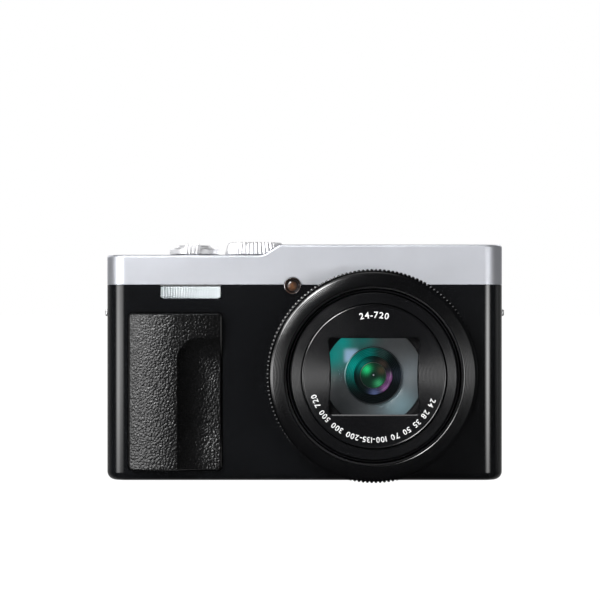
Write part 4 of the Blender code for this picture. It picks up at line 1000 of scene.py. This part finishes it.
def optics():
    _, radius, front, back = round_room("lens_retainer")
    hole = 13.75 * MM
    profile = near(hole, front, (0, 0.75), (0.15, 0.45), (0.75, 0.1), (0.95, 0))
    profile += near(radius, front, (0, 0), (0, 0.8))
    profile += near(hole, front, (1.4, 0.8)) + near(hole, back, (1.4, 0), (0, 0))
    add_on_lens("lens_retainer_mask", profile, INNER_BLACK, "lens_retainer")

    _, _, front, back = round_room("front_lens")
    glass = dome(hole - 0.05 * MM, front + 0.05 * MM, front + 2.7 * MM, 16)
    inside = [(radius, along + 0.5 * MM) for radius, along in reversed(glass)]
    add_on_lens("front_lens_glass", glass + inside,
                clear_pane("coated_front_glass", (0.45, 0.62, 0.95), 0.002, 0.12), "front_lens")

    outer = hole - 0.05 * MM
    inner = 7.9 * MM
    shares = [step / 10 for step in range(11)]
    cone = [(outer + (inner - outer) * share, front + 3.6 * MM + 1.6 * MM * share ** 1.6) for share in shares]
    cone += [(inner, back), (outer, back)]
    # Painted reflections and painted shade on the cone: dark and grey-blue patches, teal ones, and a squarer
    # lavender one standing for a softbox's reflection.
    painted_light_spots = [(-8.0, -9.5, 5.5, (0.014, 0.015, 0.016)), (7.5, -8.5, 5.2, (0.080, 0.118, 0.132)),
             (11.5, 0.5, 4.4, (0.066, 0.074, 0.080)), (-11.8, 5.5, 4.2, PAINTED_TEAL_REFLECTION),
             (-8.6, 9.6, 4.0, PAINTED_TEAL_REFLECTION), (-3.0, 10.5, 3.4, (0.010, 0.080, 0.072)),
             (-6.2, 5.5, 1.9, (0.20, 0.29, 0.40), 0.5)]
    add_on_lens("front_group_cone", cone, glass_with_painted_reflections("outer_painted_reflections", (0.040, 0.041, 0.043), painted_light_spots, shine=0.15))

    apex = front + 4.0 * MM
    terraces = near(0.0, apex, (7.95, 0.55), (7.8, 0.45))
    for step in range(6):
        terraces += near((7.65 - 0.42 * step) * MM, apex + (0.75 + 0.16 * step) * MM, (0, 0), (-0.05, 0.12))
    terraces += near(0.0, back, (5.2, -0.2), (7.95, -0.2))
    # Painted teal reflections on the inner baffle, over circles of painted shade.
    painted_light_spots = [(-5.3, 3.0, 3.6, (0.0, 0.21, 0.18)), (-1.6, 6.2, 3.0, (0.0, 0.105, 0.090)),
             (2.4, 6.2, 1.8, (0.014, 0.030, 0.028))]
    add_on_lens("inner_baffle", terraces,
                glass_with_painted_reflections("baffle_painted_reflections", (0.0016, 0.0026, 0.0030), painted_light_spots, 0.45, 0.42 * MM, 0.04))

    rim = near(0.0, apex, (7.72, 0.45), (7.80, 0.28), (7.92, 0.24), (8.02, 0.35), (8.02, 0.9), (7.72, 0.9))
    # A painted highlight on the upper left of the baffle rim.
    painted_light_spots = [(-7.4, 2.6, 3.4, (0.20, 0.34, 0.34))]
    add_on_lens("inner_baffle_rim", rim, glass_with_painted_reflections("rim_painted_reflections", (0.010, 0.011, 0.012), painted_light_spots, shine=0.2),
                steps=160)

    ring_front = apex + 1.3 * MM
    cup = near(0.0, ring_front, (5.35, 0.2), (5.2, 0), (5.05, 0.1))
    cup += near(0.0, ring_front, *[(4.95 - 1.25 * step / 6, 0.3 + 0.7 * step / 6) for step in range(7)])
    cup += near(0.0, back, (3.7, -0.3), (5.35, -0.3))
    # Painted reflections on the second element: teal, brown, purple and blue patches.
    painted_light_spots = [(-3.4, 3.2, 2.2, (0.0, 0.10, 0.085)), (2.6, 3.2, 1.3, (0.026, 0.018, 0.014)),
             (4.7, -0.8, 1.4, (0.105, 0.036, 0.105)), (3.4, -3.5, 1.5, (0.115, 0.038, 0.12)),
             (0.4, -4.9, 1.4, (0.045, 0.055, 0.12))]
    add_on_lens("second_element_cup", cup,
                glass_with_painted_reflections("cup_painted_reflections", (0.003, 0.006, 0.006), painted_light_spots, 0.35, 0.45 * MM, 0.2), steps=96)

    ring = near(0.0, ring_front, (3.5, 0.9), (3.55, 0.72), (3.68, 0.68), (3.78, 0.82), (3.78, 1.4), (3.5, 1.4))
    # A painted highlight on the third element's ring.
    painted_light_spots = [(-2.4, 2.6, 2.2, (0.10, 0.115, 0.085))]
    add_on_lens("third_element_ring", ring, glass_with_painted_reflections("ring_painted_reflections", (0.012, 0.013, 0.012), painted_light_spots, shine=0.2),
                steps=96)

    core_apex = ring_front + 0.85 * MM
    core = dome(3.5 * MM, core_apex, core_apex + 0.7 * MM) + [(3.5 * MM, back), (0.0, back)]
    # Painted reflections on the core: green patches, a brown one, a dark middle and a small pale glint.
    painted_light_spots = [(-1.8, 1.7, 1.30, (0.008, 0.34, 0.11)), (1.5, -2.2, 1.25, (0.022, 0.17, 0.068)),
             (0.2, 0.1, 1.15, (0.003, 0.008, 0.007)), (2.3, 1.4, 1.1, (0.034, 0.025, 0.014)),
             (0.1, 0.1, 0.16, (0.40, 0.38, 0.43))]
    add_on_lens("green_core_element", core,
                glass_with_painted_reflections("core_painted_reflections", (0.004, 0.016, 0.010), painted_light_spots, 0.25, 0.5 * MM, 0.12), steps=96)


def barrier_blades():
    blade_radius = 18.9 * MM
    for half in ("upper", "lower"):
        for layer in ("inner", "outer"):
            node = "blade_%s_%s" % (half, layer)
            low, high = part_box(node)
            up = 1.0 if half == "upper" else -1.0
            ends = sorted(abs(z - LENS[1]) for z in (low.z, high.z))
            start, end = [math.asin(height / blade_radius) for height in ends]
            right = arc((0.0, 0.0), blade_radius, start, end, 14)
            left = [(-x, z) for x, z in reversed(right)]
            outline = [(LENS[0] + x, LENS[1] + up * z) for x, z in right + left]
            shape = soften(prism(outline, low.y, high.y, "Y"), 0.08 * MM, 2)
            add(node + "_leaf", shape, "%s_%s_blade" % (half, layer), DARK_STEEL, node)


# ---------------------------------------------------------------- top controls

def shutter_and_lever():
    _, radius, bottom, _ = round_room("shutter_button", "Z")
    flange = DECK_Z + 1.3 * MM
    profile = [(0.0, bottom), (4.0 * MM, bottom), (4.0 * MM, flange), (radius, flange)]
    profile += near(radius, 65.0 * MM, (0, 0), (-0.1, 0.15), (-0.25, 0.2))
    profile += near(0, 65.0 * MM, (5.0, 0.2), (4.95, 0.75), (4.85, 0.95), (4.6, 1.08), (4.2, 1.12), (3.0, 1.02),
                    (1.5, 0.95), (0, 0.93))
    add("shutter_button_cap", turned(profile, "Z", SHUTTER, 96), "shutter_button", SILVER_PARTS, "shutter_button")

    low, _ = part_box("zoom_lever")
    outer = 7.06 * MM
    inner = radius + 0.2 * MM
    ring_top = 65.35 * MM
    profile = [(inner, low.z), *near(outer, low.z, (-0.15, 0), (0, 0.12))]
    profile += near(outer, ring_top, (-0.12, -0.5), (-0.2, -0.22), (-0.35, -0.07), (-0.6, 0))
    profile += near(inner, ring_top, (0.15, 0), (0, -0.15))
    left, right = -33.55 * MM, -29.35 * MM
    finger_top = 66.35 * MM
    finger = rounded_rectangle((left, low.y), (right, low.y + 3.0 * MM), 0.45 * MM)
    cuts = []
    for ridge in range(5):
        x = left + (right - left) / 4 * ridge
        cuts += [cylinder("Z", (x, low.y - 0.12 * MM), 0.34 * MM, low.z - MM, finger_top + MM, 16),
                 cylinder("Y", (x, finger_top + 0.08 * MM), 0.34 * MM, low.y - MM, low.y + 4 * MM, 16)]
    add("zoom_lever_ring", turned(profile, "Z", SHUTTER, 96), "zoom_lever", SILVER_PARTS, "zoom_lever",
        joined=[soften(prism(finger, low.z, finger_top, "Z"), 0.25 * MM, 3, 60)], cuts=cuts)


def mode_dial():
    _, radius, foot, top = round_room("mode_dial", "Z")
    bottom = DECK_Z + GAP

    def flute(share):
        return -0.42 * MM * (0.5 + 0.5 * math.cos(FULL_TURN * share)) ** 1.5

    profile = near(0.0, foot, (0, 0, 0), (2.5, 0, 0)) + near(0.0, bottom, (2.5, 0, 0))
    profile += near(radius, bottom, (-0.5, 0, 0), (-0.05, 0.08, 1.0), (0, 0.25, 1.0), (-0.30, 1.5, 1.0))
    profile += near(radius, top, (-0.68, -0.55, 1.0), (-0.85, -0.25, 0.8), (-1.1, -0.04, 0.4), (-1.4, 0, 0),
                    (-1.6, -0.1, 0))
    profile += near(0.0, top, (3.0, -0.1, 0), (2.8, -0.16, 0), (0, -0.16, 0))
    add("mode_dial_knob", fluted(profile, "Z", DIAL, 44, 8, flute), "mode_dial", SILVER_PARTS, "mode_dial", 45)

    def on_dial(x, y, out):
        return (x, y, top - 0.09 * MM + out)

    for number in range(8):
        arc_print("mode_dial_number_%d" % (number + 1), str(number + 1), 2.2 * MM, DIAL, 5.3 * MM,
                  QUARTER - FULL_TURN * number / 8, "mode_dial", GREY_PRINT, on_dial)


def pressed_cap(node):
    """A round top button with a dished face and a soft rim; returns its centre and the height of its face."""
    centre, foot, bottom, top = round_room(node, "Z")
    radius = foot - 0.8 * MM
    face = top - 0.15 * MM
    profile = [(0.0, bottom), (foot, bottom), *near(foot, bottom, (0, 0.8)), *near(radius, bottom, (0, 0.8))]
    profile += near(radius, top, (0, -0.25), (-0.1, -0.06), (-0.3, 0), (-0.7, -0.09))
    profile += [(radius * 0.4, face), (0.0, face)]
    add(node + "_cap", turned(profile, "Z", centre, 64), node, SILVER_PARTS, node)
    return centre, face


def top_buttons():
    (x, y), face = pressed_cap("power_button")
    start, end = math.radians(125), math.radians(415)
    ring = arc((x, y), 0.85 * MM, start, end, 24) + arc((x, y), 0.73 * MM, end, start, 24)
    bottom, top = face - 0.01 * MM, face + 0.02 * MM
    bar = box((x - 0.11 * MM, y + 0.2 * MM, bottom), (x + 0.11 * MM, y + 1.0 * MM, top))
    add("power_button_ring_mark", prism(ring, bottom, top, "Z"), "power_button", GREY_PRINT)
    add("power_button_bar_mark", bar, "power_button", GREY_PRINT)
    centre, face = pressed_cap("movie_button")
    red = finish("movie_dot_red", (0.45, 0.02, 0.02), 0.35, mottle=0.08, wear=0.0)
    dot = cylinder("Z", centre, 0.8 * MM, face - 0.01 * MM, face + 0.03 * MM, 32)
    add("movie_button_dot", dot, "movie_button", red)


# ---------------------------------------------------------------- rear

def monitor():
    low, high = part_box("monitor_back")
    shape = soften(plate(low, high, 0.0, 2.0 * MM, low.y, high.y, steps=8), 0.35 * MM, 3, 60)
    add("monitor_back_shell", shape, "monitor", BLACK_PLASTIC, "monitor_back",
        cuts=[plate(low, high, -1.6 * MM, 1.0 * MM, low.y + 0.8 * MM, high.y + MM)])

    low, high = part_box("monitor_bezel")
    shape = plate(low, high, 0.0, 2.0 * MM, low.y - 0.2 * MM, high.y, steps=8)
    bevel(shape, edges_where(shape, lambda place: place.y > high.y - 0.1 * MM), 0.35 * MM, 4)
    add("monitor_bezel_frame", shape, "monitor", BLACK_PLASTIC, "monitor_bezel",
        cuts=[plate(low, high, -1.5 * MM, 1.2 * MM, low.y - MM, high.y + MM)])

    low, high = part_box("monitor_glass")
    shape = plate(low, high, -0.05 * MM, 0.9 * MM, low.y, high.y)
    bevel(shape, edges_where(shape, lambda place: place.y > high.y - 0.1 * MM), 0.15 * MM, 3)
    glass = finish("monitor_black_glass", (0.003, 0.0032, 0.004), 0.06, depth=0.0001 * MM, wear=0.0, coat=1.0,
                   specular=0.6)
    add("monitor_glass_pane", shape, "monitor", glass, "monitor_glass")

    middle = (low + high) / 2
    half = Vector((31.6 * MM, 0.0, 21.1 * MM))
    active = plate(middle - half, middle + half, 0.0, 0.2 * MM, high.y - 0.02 * MM, high.y + 0.015 * MM, steps=1)
    screen = finish("screen_area", (0.010, 0.011, 0.014), 0.12, depth=0.0001 * MM, wear=0.0, coat=0.8)
    add("monitor_active_area", active, "monitor", screen)


def rear_symbol(name, body, points, along, thickness):
    """A flat printed symbol on a rear control."""
    add(name, prism(points, along - 0.01 * MM, along + thickness, "Y"), body, WHITE_PRINT)


def rear_controls():
    _, outer, front, back = round_room("control_dial")
    inner = 7.3 * MM

    def serration(share):
        return -0.28 * MM * abs(2.0 * share - 1.0)

    profile = [(inner, front, 0.0), *near(outer, front, (-0.3, 0, 0), (0, 0.3, 0.6))]
    profile += near(outer, back, (0, -0.5, 1.0), (-0.35, -0.1, 0.8), (-0.7, 0, 0.2), (-1.1, 0, 0))
    profile += near(inner, back, (0.6, -0.35, 0), (0.1, -0.6, 0), (0, -0.8, 0))
    add("control_dial_wheel", fluted(profile, "Y", REAR_DIAL, 60, 4, serration), "control_dial", BUTTON_BLACK,
        "control_dial", 40)

    _, outer, front, back = round_room("cursor_pad")
    hole = 3.4 * MM
    profile = [(hole, front), (outer, front)]
    profile += near(outer, back, (0, -0.5), (-0.2, -0.15), (-0.6, 0), (-1.6, -0.25))
    profile += near(hole, back, (0.8, -0.35), (0.3, -0.3), (0, -0.45))
    add("cursor_pad_ring", turned(profile, "Y", REAR_DIAL, 96), "cursor_pad", BUTTON_BLACK, "cursor_pad")
    for number in range(4):
        angle = FULL_TURN * number / 4
        points = []
        for along, across in ((5.75, 0.0), (5.05, 0.55), (5.05, -0.55)):
            x = (along * math.cos(angle) - across * math.sin(angle)) * MM
            z = (along * math.sin(angle) + across * math.cos(angle)) * MM
            points.append((REAR_DIAL[0] + x, REAR_DIAL[1] + z))
        rear_symbol("cursor_pad_arrow_%d" % (number + 1), "cursor_pad", points, back - 0.24 * MM, 0.06 * MM)

    _, radius, front, back = round_room("menu_button")
    profile = [(0.0, front), (radius, front), *near(radius, back, (0, -0.35), (-0.15, -0.1), (-0.45, 0))]
    profile += near(radius * 0.5, back, (0, -0.08)) + near(0.0, back, (0, -0.1))
    add("menu_button_cap", turned(profile, "Y", REAR_DIAL, 72), "menu_button", BUTTON_BLACK, "menu_button")
    for number in range(3):
        x, z = REAR_DIAL[0], REAR_DIAL[1] + (number - 1) * 0.75 * MM
        points = near(x, z, (-0.9, -0.12), (0.9, -0.12), (0.9, 0.12), (-0.9, 0.12))
        rear_symbol("menu_button_bar_%d" % (number + 1), "menu_button", points, back - 0.09 * MM, 0.04 * MM)

    for node, sides in REAR_BUTTON_MARK_SIDES.items():
        centre, foot, front, back = round_room(node)
        radius = foot - 0.8 * MM
        profile = [(0.0, front), (foot, front), (foot, front + MM), (radius, front + MM)]
        profile += near(radius, back, (0, -0.45), (-0.12, -0.2), (-0.45, -0.06))
        profile += near(radius * 0.5, back, (0, -0.01)) + [(0.0, back)]
        add(node + "_cap", turned(profile, "Y", centre, 56), node, BUTTON_BLACK, node)
        start = 0.0 if sides == 3 else math.pi / sides
        turns = [start + FULL_TURN * side / sides for side in range(sides)]
        points = near(*centre, *[(-0.75 * math.cos(turn), 0.75 * math.sin(turn)) for turn in turns])
        rear_symbol(node + "_mark", node, points, back - 0.03 * MM, 0.06 * MM)


# ---------------------------------------------------------------- base and side

def battery_door():
    low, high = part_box("battery_door")
    radius = (high.z - low.z) / 2
    pin = (low.y + radius, low.z + radius)
    outline = arc(pin, radius, QUARTER, 3 * QUARTER, 14) + [(high.y, low.z), (high.y, high.z)]
    slide_low, slide_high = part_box("battery_door_latch")
    track = box((slide_low.x - GAP, slide_low.y - DOOR_GAP, -MM),
                (slide_high.x + 2.5 * MM, slide_high.y + DOOR_GAP, 1.3 * MM))
    arrow = near(low.x, 0.0, (5.0, -0.9), (7.2, 0.1), (5.0, 1.1))
    add("battery_door_panel", prism(outline, low.x, high.x, "X"), "battery_door", BLACK_PLASTIC, "battery_door",
        cuts=[track, cylinder("X", pin, 0.4 * MM, low.x - MM, high.x + MM, 24),
              prism(arrow, -MM, 0.12 * MM, "Z")])
    grooves = [cylinder("Y", (slide_low.x + (1.2 + groove * 1.05) * MM, slide_low.z), 0.22 * MM,
                        slide_low.y - MM, slide_high.y + MM, 12) for groove in range(5)]
    add("battery_door_latch_slider", soften(box(slide_low, slide_high), 0.12 * MM, 2), "battery_door_latch",
        BUTTON_BLACK, "battery_door_latch", cuts=grooves)


def port_cover():
    low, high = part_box("port_cover")
    radius = (high.x - low.x) / 2
    outline = arc((low.x + radius, high.y - radius), radius, 0.0, math.pi, 14) + [(low.x, low.y), (high.x, low.y)]
    shape = soften(prism(outline, low.z, high.z, "Z"), 0.25 * MM, 3, 60)
    nick = rounded_rectangle((low.x - MM, low.y - MM), (low.x + 0.5 * MM, low.y + 0.7 * MM), 0.3 * MM)
    middle = (low.z + high.z) / 2
    add("port_cover_flap", shape, "port_cover", BLACK_PLASTIC, "port_cover",
        cuts=[prism(nick, middle - 3 * MM, middle + 3 * MM, "Z")])


def base_parts():
    for node in BASE_SCREWS:
        (x, y), radius, bottom, top = round_room(node, "Z")
        profile = near(0.0, bottom, (0, 0.02))
        profile += near(radius, bottom, (-0.35, 0.04), (-0.08, 0.16), (0, 0.4), (0, 0.9))
        profile += near(0.0, bottom, (0.9, 1.1)) + [(0.9 * MM, top), (0.0, top)]
        cross = [box((x - half_x, y - half_y, -MM), (x + half_x, y + half_y, bottom + 0.6 * MM))
                 for half_x, half_y in ((0.95 * MM, 0.18 * MM), (0.18 * MM, 0.95 * MM))]
        add(node + "_head", turned(profile, "Z", (x, y), 48), ROOT,
            brushed("screw_steel_" + node, (0.12, 0.12, 0.125), 0.3), node, cuts=cross)

    centre, radius, bottom, top = round_room("tripod_socket", "Z")
    profile = [(0.0, top), (radius, top), *near(radius, bottom, (0, 0.1), (-0.1, 0)), (3.25 * MM, bottom)]
    pitch = 0.8 * MM
    for turn in range(int((top - MM - bottom - GAP) / pitch)):
        profile += near(0.0, bottom + GAP + turn * pitch, (3.1, 0), (2.75, 0.28), (3.1, 0.56))
    profile += near(0.0, top, (2.7, -0.9), (0, -0.8))
    add("tripod_socket_thread", turned(profile, "Z", centre, 72), ROOT, STEEL, "tripod_socket")


# ---------------------------------------------------------------- carried-over pieces

def carried_over():
    """Node materials for the CAD pieces that stay: the inside of the lens, the electronics and the pins."""
    board = finish("board_solder_mask", (0.015, 0.09, 0.045), 0.4, grain=0.6 * MM, depth=0.02 * MM, mottle=0.3)
    label = finish("battery_wrap", (0.05, 0.05, 0.055), 0.45, mottle=0.2)
    glass = finish("lens_group_glass", (0.03, 0.05, 0.06), 0.08, coat=1.0, wear=0.1)
    chosen = {
        board: ("main_board", "image_sensor"),
        label: ("battery", "flash_capacitor"),
        glass: ("zoom_lens_group", "focus_lens_group"),
        BLACK_PLASTIC: ("memory_card", "cam_ring", "zoom_gear", "lcd_panel"),
        STEEL: ("zoom_motor", "flash_reflector", "usb_port", "battery_door_pin", "monitor_hinge_pin"),
        DARK_STEEL: ("monitor_carrier",),
        PANE: ("flash_tube",),
    }
    for material, nodes in chosen.items():
        for node in nodes:
            materials = frame["nodes"][node].data.materials
            materials.clear()
            materials.append(material)


# ---------------------------------------------------------------- stage

STAGE_MIDDLE = Vector((0.0, 0.0, 0.033))
FLOOR_HALF_WIDTH = 6.0
FLOOR_GLOW = 1.08
FLOOR_GLOW_SHARE = 0.95
SENSOR_WIDTH = 36.0
CAMERA_DISTANCE = 600 * MM
FIELD_WIDTH = 170.6 * MM


def softbox(name, turn, rise, distance, size, radiance, softness=0.8, kept_off=(), only_on=()):
    """A square light: turn is its angle in degrees round from the camera to the left, rise its angle upwards.

    Flags keep it off some pieces, or let it reach only some.
    """
    turn = math.radians(turn)
    rise = math.radians(rise)
    away = Vector((-math.sin(turn) * math.cos(rise), -math.cos(turn) * math.cos(rise), math.sin(rise)))
    data = bpy.data.lights.new(name, "AREA")
    data.shape = "RECTANGLE"
    data.size, data.size_y = size
    data.energy = radiance * math.pi * size[0] * size[1]
    data.use_nodes = True
    nodes = Nodes(data.node_tree)
    face = nodes.node("ShaderNodeNewGeometry").outputs["Parametric"]
    split = nodes.node("ShaderNodeSeparateXYZ", {0: face})
    fades = []
    for channel in ("X", "Y"):
        offset = nodes.math("ABSOLUTE", nodes.math("SUBTRACT", split.outputs[channel], 0.5))
        fades.append(nodes.span(offset, 0.0, 1.0, 0.5, 0.5 - 0.5 * softness, "SMOOTHSTEP"))
    nodes.feed(data.node_tree.nodes["Emission"].inputs["Strength"], nodes.math("MULTIPLY", *fades))
    thing = bpy.data.objects.new(name, data)
    thing.location = STAGE_MIDDLE + away * distance
    thing.rotation_euler = away.to_track_quat("Z", "Y").to_euler()
    bpy.context.scene.collection.objects.link(thing)
    if kept_off or only_on:
        collection = bpy.data.collections.new(name + "_flags")
        for piece in (*kept_off, *only_on):
            collection.objects.link(bpy.data.objects[piece])
        for item in collection.collection_objects:
            item.light_linking.link_state = "EXCLUDE" if kept_off else "INCLUDE"
        thing.light_linking.receiver_collection = collection


def lights():
    shells = ("front_case_shell", "rear_case_shell", "top_cover_shell")
    controls = ("shutter_button_cap", "zoom_lever_ring", "mode_dial_knob")
    softbox("left_softbox", 51, -1, 0.45, (0.27, 0.22), 7.6, 0.9)
    softbox("left_fill_softbox", 32, 0, 0.60, (0.38, 0.24), 4.6, 1.0)
    softbox("right_softbox", -29, -1, 0.70, (0.44, 0.20), 7.0, 1.0, kept_off=("grip_pad_leather",))
    softbox("right_strip_softbox", -32, -1, 0.70, (0.40, 0.44), 5.0, 1.0, only_on=shells)
    softbox("right_rim_softbox", -92, 5, 0.70, (0.50, 0.40), 0.4)
    softbox("control_left_softbox", 100, 12, 0.70, (0.70, 0.50), 0.9, only_on=controls)
    softbox("control_right_softbox", -58, 12, 0.70, (0.70, 0.50), 1.5, only_on=controls)
    softbox("high_key_softbox", 28, 36, 0.80, (0.28, 0.28), 44.0)
    softbox("side_key_softbox", 38, 22, 0.80, (0.28, 0.28), 24.0)
    softbox("top_softbox", 10, 75, 0.70, (0.60, 0.40), 4.0)
    softbox("back_left_softbox", 140, 25, 0.80, (0.50, 0.50), 3.6)
    softbox("back_right_softbox", -150, 30, 0.80, (0.50, 0.50), 4.0)


def studio():
    floor = mesh_object("studio_floor", box((-FLOOR_HALF_WIDTH, -FLOOR_HALF_WIDTH, -0.02),
                                            (FLOOR_HALF_WIDTH, FLOOR_HALF_WIDTH, 0.0)))
    nodes = Finish("floor_paper")
    seen = nodes.node("ShaderNodeLightPath")
    paper = nodes.span(nodes.noise(40 * MM, 3.0), 0.80, 0.84)
    paper = nodes.math("MULTIPLY", paper, nodes.span(seen.outputs["Is Glossy Ray"], 1.0, 0.03, 0.0, 1.0))
    shade = nodes.node("ShaderNodeCombineColor", {0: paper, 1: paper, 2: paper})
    nodes.put(Base_Color=shade.outputs[0], Roughness=0.9, Specular_IOR_Level=0.1)
    glow = nodes.node("ShaderNodeEmission", {"Strength": FLOOR_GLOW})
    nodes.surface(nodes.math("MULTIPLY", seen.outputs["Is Camera Ray"], FLOOR_GLOW_SHARE), nodes.shader, glow)
    floor.data.materials.append(nodes.material)
    floor.visible_glossy = False
    floor.visible_shadow = False

    world = bpy.data.worlds.new("studio_world")
    bpy.context.scene.world = world
    world.use_nodes = True
    nodes = Nodes(world.node_tree)
    around = nodes.node("ShaderNodeTexCoord").outputs["Generated"]
    split = nodes.node("ShaderNodeSeparateXYZ", {0: around})
    backward = nodes.span(split.outputs["Y"], 0.034, 0.40, 0.0, 0.9)
    seen = nodes.node("ShaderNodeLightPath").outputs["Is Camera Ray"]
    strength = nodes.node("ShaderNodeMix", {0: seen, 2: backward, 3: 1.0}).outputs[0]
    background = world.node_tree.nodes["Background"].inputs
    nodes.feed(background["Color"], (1.0, 1.0, 1.0))
    nodes.feed(background["Strength"], strength)
    lights()

    lens = bpy.data.cameras.new("camera")
    lens.sensor_width = SENSOR_WIDTH
    lens.lens = SENSOR_WIDTH * CAMERA_DISTANCE / FIELD_WIDTH
    lens.clip_start = 0.01
    camera = bpy.data.objects.new("camera", lens)
    camera.location = (-1.3 * MM, -5 * MM - CAMERA_DISTANCE, 50.64 * MM)
    camera.rotation_euler = (QUARTER, 0.0, 0.0)
    bpy.context.scene.collection.objects.link(camera)
    bpy.context.scene.camera = camera
    bpy.context.scene.view_settings.view_transform = "Standard"


for build in (front_case, rear_case, top_cover, grip_pad, flash_unit, focus_lamp, strap_lugs, control_ring,
              lens_base, barrels, front_plate, lens_print, optics, barrier_blades, shutter_and_lever, mode_dial,
              top_buttons, monitor, rear_controls, thumb_rest, battery_door, port_cover, base_parts,
              carried_over, studio):
    build()
